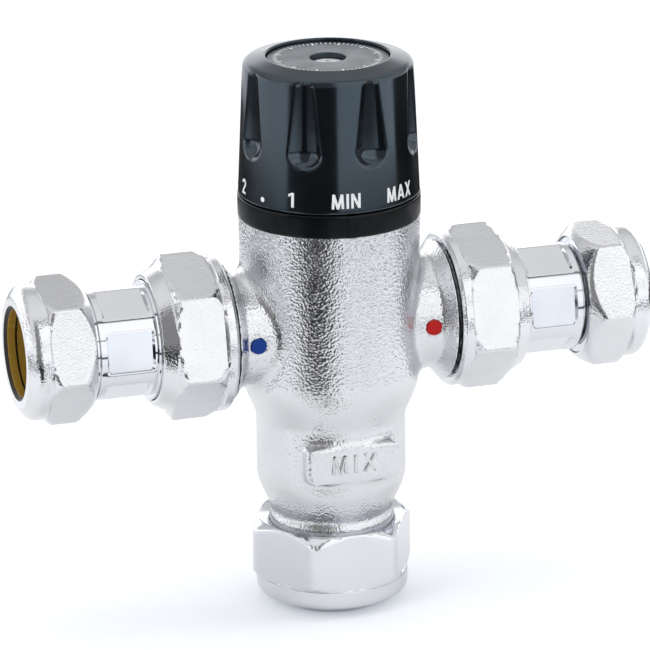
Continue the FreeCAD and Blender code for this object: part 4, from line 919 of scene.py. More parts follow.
@dataclass
class Casting:
    """The cast body, smoothed from the frame's own solid, and the word cast on its pad."""

    weld: float = 0.002
    cell: float = 0.7
    edge_reach: float = 1.3
    barrel_radius: float = 23.1
    softening: int = 3
    sharp_degrees: float = 50.0
    word: str = "MIX"
    word_width: float = 11.7
    word_height: float = 4.6
    word_middle_height: float = 42.7
    word_stand: float = 0.45
    word_stroke: float = 0.55
    word_thickness: float = 0.7
    word_gap: float = 0.32
    pad_face: float = 19.8

    def build(self, nodes: dict[str, bpy.types.Object]) -> None:
        """Build the body and its word.

        Args:
            nodes: The frame's nodes, by name.
        """
        self.body(nodes["valve_body"])
        self.cast_word()

    def body(self, node: bpy.types.Object) -> None:
        """A copy of the cast body whose skin is laid anew in even cells and softened, as sand leaves it.

        Args:
            node: The frame's own solid of the body.
        """
        work = bmesh.new()
        work.from_mesh(node.data)
        bmesh.ops.remove_doubles(work, verts=work.verts, dist=self.weld * MM)
        mesh = bpy.data.meshes.new("cast_body_blank")
        work.to_mesh(mesh)
        work.free()
        blank = bpy.data.objects.new("cast_body_blank", mesh)
        bpy.context.scene.collection.objects.link(blank)
        skin = blank.modifiers.new("even_cells", "REMESH")
        skin.mode = "VOXEL"
        skin.voxel_size = self.cell * MM
        soft = blank.modifiers.new("softened_edges", "SMOOTH")
        soft.factor, soft.iterations = 0.5, self.softening
        graph = bpy.context.evaluated_depsgraph_get()
        laid = bpy.data.meshes.new_from_object(blank.evaluated_get(graph), depsgraph=graph)
        bpy.data.objects.remove(blank)
        made = bpy.data.objects.new("cast_body", laid)
        bpy.context.scene.collection.objects.link(made)
        self.square_top(made.data)
        shade_smooth(made, self.sharp_degrees)
        settle(made, CAST_CHROME, "root", ["valve_body"])

    def square_top(self, mesh: bpy.types.Mesh) -> None:
        """Bring the machined top edge, which softening has rounded, back to its true radius and height.

        Corners within edge_reach of the top and near the barrel's wall are set out to the barrel's radius,
        and those nearest the top are lifted one cell, into the ring that sits on it.

        Args:
            mesh: The body's mesh, in metres.
        """
        points = np.empty(len(mesh.vertices) * 3)
        mesh.vertices.foreach_get("co", points)
        points = points.reshape(-1, 3) / MM
        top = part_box("valve_body")[1].z / MM
        radius = np.hypot(points[:, 0], points[:, 1])
        wall = (points[:, 2] > top - self.edge_reach) & (radius > self.barrel_radius - self.edge_reach)
        scale = np.where(wall, self.barrel_radius / np.maximum(radius, 1.0), 1.0)
        points[:, :2] *= scale[:, None]
        points[:, 2] = np.where(wall & (points[:, 2] > top - self.cell), top + self.cell, points[:, 2])
        mesh.vertices.foreach_set("co", (points * MM).astype(np.float32).ravel())
        mesh.update()

    def cast_word(self) -> None:
        """The raised word on the pad, with soft cast edges."""
        letters = Lettering(self.word, self.word_height, self.word_width, stroke=self.word_stroke,
                            thickness=self.word_thickness, gap=self.word_gap)
        points, faces = letters.laid()
        stand = -self.pad_face + self.word_thickness - self.word_stand - points[:, 2]
        placed = np.stack([points[:, 0], stand, self.word_middle_height + points[:, 1]], axis=1)
        settle(lettered_piece("cast_word", placed, faces), RUBBED_CHROME, "root")


@dataclass(frozen=True)
class Stroke:
    """One stroke of a letter: a line from start to end, or an arc, in shares of the letter's height.

    Its width is set off sideways for an upright stroke, upwards for a level one, and outwards for an arc.
    """

    start: tuple[float, float]
    end: tuple[float, float]
    level: bool = False
    arc: bool = False
    sweep: tuple[float, float] = (0.0, 0.0)

    def middle_line(self, pieces: int) -> FloatArray:
        """Points along the middle of the stroke; for an arc, start is its centre and end its two radii.

        Args:
            pieces: Number of steps along the stroke.

        Returns:
            The points, one a row.
        """
        share = np.linspace(0.0, 1.0, pieces + 1)[:, None]
        if not self.arc:
            return np.array(self.start) * (1.0 - share) + np.array(self.end) * share
        turn = np.radians(self.sweep[0] + (self.sweep[1] - self.sweep[0]) * share)
        return np.array(self.start) + np.array(self.end) * np.hstack([np.cos(turn), np.sin(turn)])

    def half_width(self, line: FloatArray, width: float) -> FloatArray:
        """Half the stroke's width as a vector at each point of its middle line.

        An upright stroke keeps level ends, so its sideways half width is width / 2 / sin(slope); a level one
        keeps upright ends in the same way; an arc's points outwards from its centre.

        Args:
            line: Points along the middle of the stroke.
            width: The stroke's width, as a share of the letter's height.

        Returns:
            The half widths, one a row.
        """
        if self.arc:
            outward = (line - np.array(self.start)) / np.array(self.end)
            return outward / np.linalg.norm(outward, axis=1, keepdims=True) * width / 2.0
        run = np.array(self.end) - np.array(self.start)
        slope = abs(run[0] if self.level else run[1]) / float(np.linalg.norm(run))
        side = (0.0, 1.0) if self.level else (1.0, 0.0)
        return np.array(side) * width / 2.0 / slope + 0.0 * line


def upright(x_foot: float, y_foot: float, x_head: float, y_head: float) -> Stroke:
    """A straight stroke with level ends."""
    return Stroke((x_foot, y_foot), (x_head, y_head))


def level(x_start: float, x_end: float, height: float, rise: float = 0.0) -> Stroke:
    """A level or nearly level stroke with upright ends."""
    return Stroke((x_start, height), (x_end, height + rise), level=True)


def bow(centre: tuple[float, float], radii: tuple[float, float], start: float, end: float) -> Stroke:
    """A round stroke about a centre, from one angle to another in degrees."""
    return Stroke(centre, radii, arc=True, sweep=(start, end))


@dataclass
class Lettering:
    """Plain condensed letters built of strokes: each is a thin closed slab, laid flat, its thickness along z."""

    text: str
    height: float
    width: float
    stroke: float = 0.62
    thickness: float = 0.06
    gap: float = 0.15
    pieces: int = 8

    # How much thicker each stroke of a letter is than the one before, so that crossing faces never coincide
    OVERLAP: ClassVar[float] = 0.04
    GLYPHS: ClassVar[dict[str, tuple[float, tuple[Stroke, ...]]]] = {
        "M": (0.78, (upright(0.08, 0, 0.13, 1), upright(0.39, 0, 0.13, 1), upright(0.39, 0, 0.65, 1),
                     upright(0.70, 0, 0.65, 1))),
        "I": (0.15, (upright(0.075, 0, 0.075, 1),)),
        "N": (0.60, (upright(0.075, 0, 0.075, 1), upright(0.525, 0, 0.075, 1), upright(0.525, 0, 0.525, 1))),
        "A": (0.68, (upright(0.07, 0, 0.34, 1), upright(0.61, 0, 0.34, 1), level(0.16, 0.52, 0.27))),
        "X": (0.62, (upright(0.07, 0, 0.55, 1), upright(0.55, 0, 0.07, 1))),
        "1": (0.36, (upright(0.28, 0, 0.28, 1), level(0.02, 0.28, 0.80, 0.13))),
        "2": (0.56, (bow((0.27, 0.71), (0.20, 0.22), 170, -38), upright(0.09, 0.07, 0.42, 0.58),
                     level(0.02, 0.52, 0.07))),
        "3": (0.52, (bow((0.25, 0.72), (0.18, 0.21), 155, -85), bow((0.25, 0.29), (0.20, 0.22), 85, -155))),
        "4": (0.58, (upright(0.40, 0, 0.40, 1), upright(0.08, 0.28, 0.38, 1), level(0.02, 0.56, 0.26))),
        "5": (0.52, (level(0.10, 0.48, 0.93), upright(0.10, 0.50, 0.13, 0.95),
                     bow((0.25, 0.32), (0.20, 0.25), 130, -150))),
        "6": (0.54, (bow((0.27, 0.30), (0.20, 0.23), 0, 360), upright(0.09, 0.36, 0.36, 1.0))),
    }

    def slabs(self) -> tuple[FloatArray, NDArray[np.int32]]:
        """All the word's strokes as slabs.

        Each point of a stroke's middle line carries four corners: the two ends of its width at the foot and
        at the face. Faces join each four to the next, and one closes each end.

        Returns:
            The corners in millimetres, and the faces.
        """
        corners, faces, place, count = [], [], 0.0, 0
        for letter in self.text:
            advance, strokes = self.GLYPHS[letter]
            for order, stroke in enumerate(strokes):
                line = stroke.middle_line(self.pieces * (3 if stroke.arc else 1))
                half = stroke.half_width(line, self.stroke / self.height)
                flat = np.stack([line - half, line + half, line + half, line - half], axis=1) + (place, 0.0)
                top = self.thickness * (1.0 + self.OVERLAP * order)
                up = np.broadcast_to([0.0, 0.0, top, top], flat.shape[:2])
                corners.append(np.concatenate([flat * self.height, up[..., None]], axis=2).reshape(-1, 3))
                row = np.arange(len(line) - 1)[:, None] * 4
                column = np.arange(4)[None, :]
                beside = (column + 1) % 4
                skin = np.stack([row + column, row + beside, row + 4 + beside, row + 4 + column], axis=-1)
                last = (len(line) - 1) * 4
                ends = np.array([[0, 3, 2, 1], [last, last + 1, last + 2, last + 3]])
                faces.append(np.concatenate([skin.reshape(-1, 4), ends]) + count)
                count += len(line) * 4
            place += advance + self.gap
        return np.concatenate(corners), np.concatenate(faces)

    def laid(self) -> tuple[FloatArray, NDArray[np.int32]]:
        """The word with its exact width and height, centred.

        Returns:
            The corners in millimetres, and the faces.
        """
        points, faces = self.slabs()
        low, high = points.min(axis=0), points.max(axis=0)
        points[:, 0] = (points[:, 0] - (low[0] + high[0]) / 2.0) * self.width / (high[0] - low[0])
        points[:, 1] -= self.height / 2.0
        return points, faces


def lettered_piece(name: str, points: FloatArray, faces: NDArray[np.int32]) -> bpy.types.Object:
    """A word whose slabs are placed, as an object with every slab's faces turned outwards.

    Args:
        name: Name of the piece.
        points: The slabs' corners in millimetres.
        faces: Corner indices, one face a row.

    Returns:
        The new object, linked to the scene.
    """
    made = mesh_object(name, points * MM, faces)
    work = bmesh.new()
    work.from_mesh(made.data)
    bmesh.ops.recalc_face_normals(work, faces=work.faces)
    work.to_mesh(made.data)
    work.free()
    return made


@dataclass
class Knob:
    """The moulded knob with its flutes and print, the film disc in its crown, and the ring below it."""

    foot_radius: float = 23.1
    top_radius: float = 21.55
    height: float = 34.0
    crown: float = 1.5
    wall: float = 4.6
    recess_radius: float = 15.7
    recess_depth: float = 2.4
    well_radius: float = 4.6
    well_depth: float = 3.0
    hole_radius: float = 2.7
    flute_count: int = 8
    flute_turn: float = 12.0
    flute_axis_radius: float = 24.7
    flute_rise: float = 15.2
    flute_lean: float = 5.0
    flute_length: float = 17.9
    flute_foot_radius: float = 4.9
    flute_tip_radius: float = 2.7
    nose_share: float = 0.85
    print_middle: float = 3.45
    dot_middle: float = 2.15
    dot_radius: float = 0.66
    letter_height: float = 3.8
    number_count: int = 6
    number_pitch: float = 44.0
    first_number: float = -41.6
    disc_stand: float = 0.65
    screw_radius: float = 4.1
    screw_depth: float = 1.05
    turns: int = 448
    shoulder_rounding: float = 1.8
    flute_rim: float = 0.7
    flute_tip_run: tuple[float, float] = (0.2, 0.9)
    uncut_margin: float = 0.5
    crown_margin: float = 3.0
    step: float = 0.42
    ceiling_depth: float = 5.5
    hub_radii: tuple[float, float] = (5.1, 8.0)
    hub_rise: float = 10.0
    hub_web: float = 2.0
    ink_gap: float = 0.01
    one_width: float = 1.55
    number_width: float = 2.35
    disc_radius: float = 15.5
    shank_gap: float = 0.3
    slot_half_width: tuple[float, float] = (0.35, 0.6)
    slot_reach: tuple[float, float] = (2.1, 2.5)
    slot_depth: float = 0.9
    head_fall: float = 0.02
    ring_bore: float = 18.2
    ring_seat: float = 20.3
    ring_radius: float = 23.3
    ring_lip: float = 1.5

    # The two end words: piece, word, angle of its middle from the front, and width
    WORDS: ClassVar[tuple[tuple[str, str, float, float], ...]] = (
        ("print_min", "MIN", -6.4, 7.45), ("print_max", "MAX", 33.7, 9.4))

    def build(self) -> None:
        """Build the knob, its print, the disc and the ring."""
        self.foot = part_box("knob")[0].z / MM
        self.moulding()
        self.scale_print()
        self.film_disc()
        self.index_ring()

    def skirt_radius(self, rise: FloatArray) -> FloatArray:
        """Radius of the plain skirt at a height above the knob's foot."""
        return self.foot_radius + (self.top_radius - self.foot_radius) * rise / self.height

    def fluted(self, rise: FloatArray, radius: FloatArray, angles: FloatArray) -> FloatArray:
        """Radius of the skirt with its flutes cut.

        A flute is the inner side of a leaning cone: at a height t above its foot the cone's axis lies at
        flute_axis_radius - t tan(lean), and its own radius narrows from foot to tip, with a round nose below.
        A point an arc u from the flute's middle then lies at axis - sqrt(cone^2 - u^2), and the lesser of
        that and the skirt's radius is taken, softly, which rolls the rim over.

        Args:
            rise: Heights above the knob's foot, as a column.
            radius: Radii of the plain surface, as a column.
            angles: Angles of the columns, in degrees from +X.

        Returns:
            Radii of the cut surface.
        """
        pitch = 360.0 / self.flute_count
        from_middle = np.mod(angles - self.flute_turn + pitch / 2.0, pitch) - pitch / 2.0
        arc = radius * np.sin(np.radians(from_middle))
        up = rise - self.flute_rise
        axis = self.flute_axis_radius - np.clip(up, 0.0, None) * math.tan(math.radians(self.flute_lean))
        cone = self.flute_foot_radius + (self.flute_tip_radius - self.flute_foot_radius) * np.clip(
            up / self.flute_length, 0.0, 1.0)
        below = np.clip(-up, 0.0, None) / self.nose_share
        nose = np.sqrt(np.clip(self.flute_foot_radius ** 2 - below ** 2, 0.0, None))
        cone = np.where(up < 0.0, nose, cone)
        closed = self.flute_foot_radius * smooth_step(up, self.flute_length - self.flute_tip_run[0],
                                                      self.flute_length + self.flute_tip_run[1])
        cone = np.clip(cone - closed, 0.0, None)
        depth = axis - np.sqrt(np.clip(cone ** 2 - arc ** 2, 0.0, None))
        return smooth_min(radius + 0.0 * angles, depth, self.flute_rim)

    def moulding(self) -> None:
        """The knob itself, as one closed surface from its foot over the crown to the hub and back."""
        foot, shoulder = self.foot, self.foot + self.height
        crown = shoulder + self.crown
        seat = crown - self.recess_depth
        well, ceiling = seat - self.well_depth, seat - self.ceiling_depth
        inner = self.foot_radius - self.wall
        hub_foot, hub_bore, hub_radius = self.foot + self.hub_rise, *self.hub_radii
        seen = [Corner(foot, inner, 0.3), Corner(foot, self.foot_radius, 0.35),
                Corner(shoulder, self.top_radius, self.shoulder_rounding),
                Corner(crown, self.recess_radius, 0.35)]
        hidden = [(seat, self.recess_radius, 0.0), (seat, self.well_radius, 0.2), (well, self.well_radius, 0.0),
                  (well, self.hole_radius, 0.0), (ceiling - self.hub_web, self.hole_radius, 0.0),
                  (ceiling - self.hub_web, hub_bore, 0.0), (hub_foot, hub_bore, 0.0),
                  (hub_foot, hub_radius, 0.0), (ceiling, hub_radius, 0.0), (ceiling, inner, 1.0)]
        outline = rounded_outline(seen + [Corner(*spot, out_of_sight=True) for spot in hidden], self.step)
        along, radius = outline[:, :1], outline[:, 1:]
        degrees = np.arange(self.turns)[None, :] * 360.0 / self.turns
        skirt = (radius > self.recess_radius + self.crown_margin) & (along > foot + self.uncut_margin)
        skirt &= radius > inner + self.uncut_margin
        cut = np.where(skirt, self.fluted(along - foot, radius, degrees), radius + 0.0 * degrees)
        turn = np.radians(degrees)
        points = Axis.UP.placed(along + 0.0 * turn, cut * np.cos(turn), cut * np.sin(turn))
        made = closed_grid("fluted_knob", points)
        shade_smooth(made, 40.0)
        settle(made, MOULDED_NYLON, "knob", ["knob"])

    def wrapped(self, name: str, text: str, degrees: float, width: float) -> bpy.types.Object:
        """One word or number of the scale, bent round the skirt.

        A point x along the flat word goes to the angle x / radius about the spindle, at the skirt's own
        radius there.

        Args:
            name: Name of the piece.
            text: What it says.
            degrees: Angle of its middle from the front, positive towards +X.
            width: Width of the whole word.

        Returns:
            The piece.
        """
        points, faces = Lettering(text, self.letter_height, width).laid()
        rise = self.print_middle + points[:, 1]
        surface = self.skirt_radius(rise) + self.ink_gap + points[:, 2]
        angle = np.radians(degrees - 90.0) + points[:, 0] / surface
        placed = np.stack([surface * np.cos(angle), surface * np.sin(angle), self.foot + rise], axis=1)
        return lettered_piece(name, placed, faces)

    def scale_print(self) -> None:
        """The scale round the skirt: the two end words, the numbers and the dots between them."""
        marks = list(self.WORDS)
        for number in range(1, self.number_count + 1):
            turn = self.first_number - (number - 1) * self.number_pitch
            width = self.one_width if number == 1 else self.number_width
            marks.append((f"print_{number}", str(number), turn, width))
        for name, text, degrees, width in marks:
            settle(self.wrapped(name, text, degrees, width), WHITE_INK, "knob")
        for number in range(1, self.number_count):
            turn = self.first_number - (number - 0.5) * self.number_pitch
            settle(self.dot(f"print_dot_{number}", turn), WHITE_INK, "knob")

    def dot(self, name: str, degrees: float) -> bpy.types.Object:
        """A round printed dot: rings of points about its middle, each laid on the skirt.

        Args:
            name: Name of the piece.
            degrees: Angle of its middle from the front.

        Returns:
            The piece, as a closed thin lens.
        """
        around = np.arange(24)[None, :] * 2.0 * math.pi / 24
        share = np.array([0.02, 0.6, 1.0, 0.6, 0.02])[:, None]
        stand = np.array([0.06, 0.06, 0.03, 0.0, 0.0])[:, None]
        rise = self.dot_middle + share * self.dot_radius * np.sin(around)
        surface = self.skirt_radius(rise) + stand
        angle = math.radians(degrees - 90.0) + share * self.dot_radius * np.cos(around) / surface
        points = np.stack([surface * np.cos(angle), surface * np.sin(angle), self.foot + rise], axis=-1)
        made = closed_grid(name, points)
        shade_smooth(made, 60.0)
        return made

    def film_disc(self) -> None:
        """The film disc in the crown's recess, and a plain ring of ticks printed on it."""
        low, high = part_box("knob_label_disc")
        top, foot = high.z / MM + self.disc_stand, low.z / MM
        disc = TurnedPiece("film_disc", Axis.UP,
                           [Corner(foot, self.well_radius), Corner(foot, self.disc_radius),
                            Corner(top, self.disc_radius, 0.2), Corner(top, self.well_radius, 0.2)], step=0.8)
        settle(disc.build(), PRINTED_FILM, "knob", ["knob_label_disc"])
        settle(self.tick_ring(top), WHITE_INK, "knob")
        self.cross_head_screw(top)

    def cross_head_screw(self, disc_top: float) -> None:
        """The knob's screw: a low domed head with a cross recess, standing in the well.

        The head's face falls as the square of the radius, and inside the cross, where the point lies within
        half a slot's width of either of two lines through the middle, it drops by the slot's depth over a
        soft side.

        Args:
            disc_top: Height of the disc's face.
        """
        foot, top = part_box("knob_screw")[0].z / MM, disc_top - self.screw_depth
        seat = self.foot + self.height + self.crown - self.recess_depth - self.well_depth
        shank = self.hole_radius - self.shank_gap
        outline = rounded_outline([
            Corner(foot, POLE_RADIUS), Corner(foot, shank, 0.4), Corner(seat, shank),
            Corner(seat, self.screw_radius, 0.2), Corner(top, self.screw_radius, 0.9),
            Corner(top, POLE_RADIUS)], 0.2)
        along, radius = outline[:, :1], outline[:, 1:]
        turn = np.arange(96)[None, :] * 2.0 * math.pi / 96
        across, up = radius * np.cos(turn), radius * np.sin(turn)
        slot = np.minimum(np.abs(across), np.abs(up))
        cross = (1.0 - smooth_step(slot, *self.slot_half_width)) * (1.0 - smooth_step(radius, *self.slot_reach))
        face = along > top - 0.3
        height = along - np.where(face, self.head_fall * radius ** 2 + self.slot_depth * cross, 0.0)
        made = closed_grid("cross_head_screw", np.stack([across, up, height], axis=-1))
        shade_smooth(made, 35.0)
        settle(made, ZINC_PLATE, "knob", ["knob_screw"])

    def tick_ring(self, top: float, count: int = 72, radius: float = 14.0,
                  stand: float = 0.03) -> bpy.types.Object:
        """A ring of fine printed ticks, longer at every sixth, as thin boxes.

        Args:
            top: Height of the disc's face.
            count: Number of ticks.
            radius: Outer radius of the ring.
            stand: Thickness of the ink.

        Returns:
            The ring of ticks as one piece.
        """
        number = np.arange(count)
        angle = number * 2.0 * math.pi / count
        length = np.where(number % 6 == 0, 1.9, 1.1)
        half = np.where(number % 6 == 0, 0.24, 0.16)
        corner = np.array([(0, -1, 0), (1, -1, 0), (1, 1, 0), (0, 1, 0),
                           (0, -1, 1), (1, -1, 1), (1, 1, 1), (0, 1, 1)])
        out = radius - corner[None, :, 0] * length[:, None]
        side = corner[None, :, 1] * half[:, None]
        height = top - 0.005 + corner[None, :, 2] * (stand + 0.005) + 0.0 * out
        cosine, sine = np.cos(angle)[:, None], np.sin(angle)[:, None]
        points = np.stack([out * cosine - side * sine, out * sine + side * cosine, height], axis=-1)
        points = points.reshape(-1, 3)
        box = np.array([(0, 3, 2, 1), (4, 5, 6, 7), (0, 1, 5, 4), (1, 2, 6, 5), (2, 3, 7, 6), (3, 0, 4, 7)])
        faces = (number[:, None, None] * 8 + box[None]).reshape(-1, 4)
        made = mesh_object("disc_ticks", points * MM, faces)
        turn_outwards(made)
        return made

    def index_ring(self) -> None:
        """The ring under the knob, with the index rib on its front."""
        low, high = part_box("index_ring")
        foot, top = low.z / MM, high.z / MM
        lip = foot + self.ring_lip
        ring = RibbedRing("index_ring_moulding", Axis.UP,
                          [Corner(foot, self.ring_bore), Corner(foot, self.ring_radius, 0.3),
                           Corner(top, self.ring_radius, 0.35), Corner(top, self.ring_seat, 0.2),
                           Corner(lip, self.ring_seat), Corner(lip, self.ring_bore)], step=0.5, turns=720)
        settle(ring.build(), MOULDED_ACETAL, "root", ["index_ring"])


@dataclass
class RibbedRing(TurnedPiece):
    """A ring with one upright rib on its face."""

    rib_degrees: float = -3.0
    rib_half_width: float = 1.15
    rib_stand: float = 0.35
    rib_side: float = 0.1
    face_radius: float = 22.5

    def shaped_radius(self, along: FloatArray, radius: FloatArray, angles: FloatArray) -> FloatArray:
        """Radius of the ring, raised over the rib's width by a smooth step at each of its sides.

        Args:
            along: Distance along the axis, as a column; not used.
            radius: The outline's radius, as a column.
            angles: Angles of the columns, in radians.

        Returns:
            Radii at each row and column.
        """
        middle = math.radians(self.rib_degrees - 90.0)
        arc = radius * np.abs(np.mod(angles - middle + math.pi, 2.0 * math.pi) - math.pi)
        inner, outer = self.rib_half_width - self.rib_side, self.rib_half_width + self.rib_side
        raised = 1.0 - smooth_step(arc, inner, outer)
        return np.where(radius > self.face_radius, radius + raised * self.rib_stand, radius + 0.0 * angles)


# --------------------------------------------------------------------------------------------------
# Studio
# --------------------------------------------------------------------------------------------------

@dataclass
class Studio:
    """Pale floor, soft lights and camera, and the dark cards and bright panels that only reflections see."""

    # Softboxes: name, place in metres, width and height in metres, and power in watts
    LIGHTS: ClassVar[tuple[tuple[str, tuple[float, float, float], tuple[float, float], float], ...]] = (
        ("left_softbox", (-0.85, -0.45, 0.55), (0.45, 0.9), 2.7),
        ("right_softbox", (0.9, -0.25, 0.5), (0.4, 0.9), 2.0),
        ("top_softbox", (0.05, 0.1, 1.0), (0.8, 0.5), 2.6))
    # Dark cards on the floor that only reflections see, for the dark shapes that bright metal needs: name,
    # first and last azimuth from the front in degrees, inner and outer radius in metres
    FLAGS: ClassVar[tuple[tuple[str, tuple[float, float], tuple[float, float]], ...]] = (
        ("neck_flag", (-36.0, -6.0), (0.078, 0.094)),
        ("barrel_flag", (-50.0, -18.0), (0.152, 0.338)),
        ("front_flag", (-70.0, -6.0), (0.36, 2.5)),
        ("side_flag", (77.0, 117.0), (0.36, 2.5)),
        ("ring_flag", (-180.0, 180.0), (0.338, 0.52)))
    # What reflections see overhead: pairs of a place on the arch, from the front horizon at 0 over the zenith
    # at 0.5 to the back horizon at 1, and the share of tent_brightness there
    TENT: ClassVar[tuple[tuple[float, float], ...]] = (
        (0.01, 0.74), (0.133, 0.74), (0.137, 0.16), (0.147, 0.16), (0.151, 0.77), (0.34, 0.77), (0.353, 0.03),
        (0.37, 0.03), (0.383, 0.55), (0.62, 0.51), (0.71, 0.46), (0.76, 0.33), (0.85, 0.38), (0.89, 0.95),
        (0.99, 1.0))
    tent_brightness: float = 1.7
    # A dark panel that reflections see on one side of the front: the bearing of its middle, the cosines over
    # which its edge fades, the heights over which its top does, how far it covers the arch, and its own level
    panel_bearing: tuple[float, float, float] = (-0.616, -0.788, 0.0)
    panel_edge: tuple[float, float] = (0.82, 0.9)
    panel_top: tuple[float, float] = (0.8, 0.9)
    panel_cover: float = 0.93
    panel_level: float = 0.12
    # The world's level for diffuse light, and for the camera, where 1 is white
    diffuse_level: float = 0.72
    camera_level: float = 1.0
    aim: tuple[float, float, float] = (0.0, 0.0, 0.075)

    floor_colour: str = "#F7F8F9"
    floor_half_size: float = 3.0
    camera_glow: float = 0.22
    # The floor's glow in reflections: first and last distance from the spindle in metres, and the glow at
    # each
    far_glow: tuple[float, float, float, float] = (0.12, 0.8, 0.03, 0.4)
    near_glow: tuple[float, float, float, float] = (0.14, 0.2, 0.0, 0.15)
    glow_colour: str = "#E6F0FF"
    card_rise: float = 0.004
    card_steps: int = 32
    camera_azimuth: float = 17.245
    camera_elevation: float = 18.44
    camera_roll: float = -0.494
    camera_distance: float = 1.2259
    camera_offset: tuple[float, float] = (-0.001271, -0.001279)
    focal_length: float = 265.1
    sensor_width: float = 36.0
    clip: tuple[float, float] = (0.05, 20.0)

    def build(self) -> None:
        """Build the floor, the world, the lights and the camera."""
        self.floor()
        self.world()
        for name, place, size, power in self.LIGHTS:
            self.light(name, place, size, power)
        self.camera()
        for name, (start, end), (inner, outer) in self.FLAGS:
            self.flag(name, start, end, inner, outer)
        bpy.context.scene.view_settings.view_transform = "Standard"

    def floor(self) -> None:
        """A large level sheet that the valve stands on."""
        half = self.floor_half_size
        points = np.array([(-half, -half, 0.0), (half, -half, 0.0), (half, half, 0.0), (-half, half, 0.0)])
        sheet = mesh_object("studio_floor", points, np.array([[0, 1, 2, 3]]))
        paper = Finish("pale_paper", self.floor_colour, "#F1F2F3", 0.0, 0.8, 0.05, mottle=300.0)
        sheet.data.materials.append(self.glowing(paper.material()))

    def glowing(self, paper: bpy.types.Material) -> bpy.types.Material:
        """Let the camera see the paper as white, and bright metal see it whiter the farther off it lies.

        Args:
            paper: The paper's material, which diffuse light still finds as it is, shadows included.

        Returns:
            The same material.
        """
        tree = paper.node_tree
        place = add_node(tree, "ShaderNodeTexCoord").outputs["Object"]
        reach = add_node(tree, "ShaderNodeVectorMath", {0: place}, operation="LENGTH")
        far, near = (add_node(tree, "ShaderNodeMapRange", {"Value": reach.outputs["Value"]},
                              dict(zip(RAMP_SOCKETS, glow))) for glow in (self.far_glow, self.near_glow))
        both = add_node(tree, "ShaderNodeMath", {0: far.outputs["Result"], 1: near.outputs["Result"]},
                        operation="MAXIMUM")
        ray = add_node(tree, "ShaderNodeLightPath")
        seen = add_node(tree, "ShaderNodeMath", {0: ray.outputs["Is Glossy Ray"], 1: both.outputs[0]},
                        operation="MULTIPLY")
        glow = add_node(tree, "ShaderNodeMix", {"Factor": ray.outputs["Is Camera Ray"], "A": seen.outputs[0]},
                        {"B": self.camera_glow}, data_type="FLOAT")
        shader = next(node for node in tree.nodes if node.type == "BSDF_PRINCIPLED")
        shader.inputs["Emission Color"].default_value = linear_colour(self.glow_colour)
        tree.links.new(glow.outputs["Result"], shader.inputs["Emission Strength"])
        return paper

    def flag(self, name: str, start: float, end: float, inner: float, outer: float) -> None:
        """A dark card on the floor that only glossy surfaces see: a sector of a ring round the valve.

        Args:
            name: Name of the card.
            start: Azimuth where the sector starts, in degrees from the front, positive towards +X.
            end: Azimuth where it ends.
            inner: Inner radius in metres.
            outer: Outer radius in metres.
        """
        angles = np.radians(np.linspace(start, end, self.card_steps + 1) - 90.0)[:, None]
        radii = np.array([[inner, outer]])
        points = np.stack([radii * np.cos(angles), radii * np.sin(angles),
                           self.card_rise + 0.0 * radii * angles], axis=-1)
        faces = np.arange(self.card_steps)[:, None] * 2 + np.array([[0, 1, 3, 2]])
        card = mesh_object(name, points.reshape(-1, 3), faces)
        felt = Finish("dark_felt", "#101113", "#15171A", 0.0, 0.9, 0.05, mottle=50.0)
        card.data.materials.append(felt.material())
        card.visible_camera = False
        card.visible_diffuse = False
        card.visible_shadow = False

    def world(self) -> None:
        """White to the camera, one plain level for diffuse light, and panels for what reflections see.

        The panels lie along an arch from the front horizon over the zenith to the back one: a direction's
        place on it is atan2(z, -y) / pi. One more dark panel stands where the direction's level bearing is
        near its own.
        """
        world = bpy.data.worlds.new("studio_world")
        bpy.context.scene.world = world
        world.use_nodes = True
        tree = world.node_tree
        tree.nodes.clear()
        place = add_node(tree, "ShaderNodeTexCoord").outputs["Generated"]
        split = add_node(tree, "ShaderNodeSeparateXYZ", {"Vector": place})
        ahead = add_node(tree, "ShaderNodeMath", {0: split.outputs["Y"]}, {1: -1.0}, operation="MULTIPLY")
        arch = add_node(tree, "ShaderNodeMath", {0: split.outputs["Z"], 1: ahead.outputs[0]},
                        operation="ARCTAN2")
        share = add_node(tree, "ShaderNodeMath", {0: arch.outputs[0]}, {1: math.pi}, operation="DIVIDE")
        tent = add_node(tree, "ShaderNodeValToRGB", {"Fac": share.outputs[0]})
        for place_on_arch, level_there in self.TENT:
            stop = tent.color_ramp.elements.new(place_on_arch)
            stop.color = (level_there, level_there, level_there, 1.0)
        tent.color_ramp.elements.remove(tent.color_ramp.elements[0])
        tent.color_ramp.elements.remove(tent.color_ramp.elements[-1])
        level_way = add_node(tree, "ShaderNodeVectorMath", {0: place}, {1: (1.0, 1.0, 0.0)},
                             operation="MULTIPLY")
        bearing = add_node(tree, "ShaderNodeVectorMath", {0: level_way.outputs[0]}, operation="NORMALIZE")
        towards = add_node(tree, "ShaderNodeVectorMath", {0: bearing.outputs[0]}, {1: self.panel_bearing},
                           operation="DOT_PRODUCT")
        beside = add_node(tree, "ShaderNodeMapRange", {"Value": towards.outputs["Value"]},
                          dict(zip(RAMP_SOCKETS, (*self.panel_edge, 0.0, 1.0))))
        below = add_node(tree, "ShaderNodeMapRange", {"Value": split.outputs["Z"]},
                         dict(zip(RAMP_SOCKETS, (*self.panel_top, self.panel_cover, 0.0))))
        panel = add_node(tree, "ShaderNodeMath", {0: beside.outputs["Result"], 1: below.outputs["Result"]},
                         operation="MULTIPLY")
        reflected = add_node(tree, "ShaderNodeMix", {"Factor": panel.outputs[0], "A": tent.outputs["Color"]},
                             {"B": (self.panel_level, self.panel_level, self.panel_level, 1.0)},
                             data_type="RGBA")
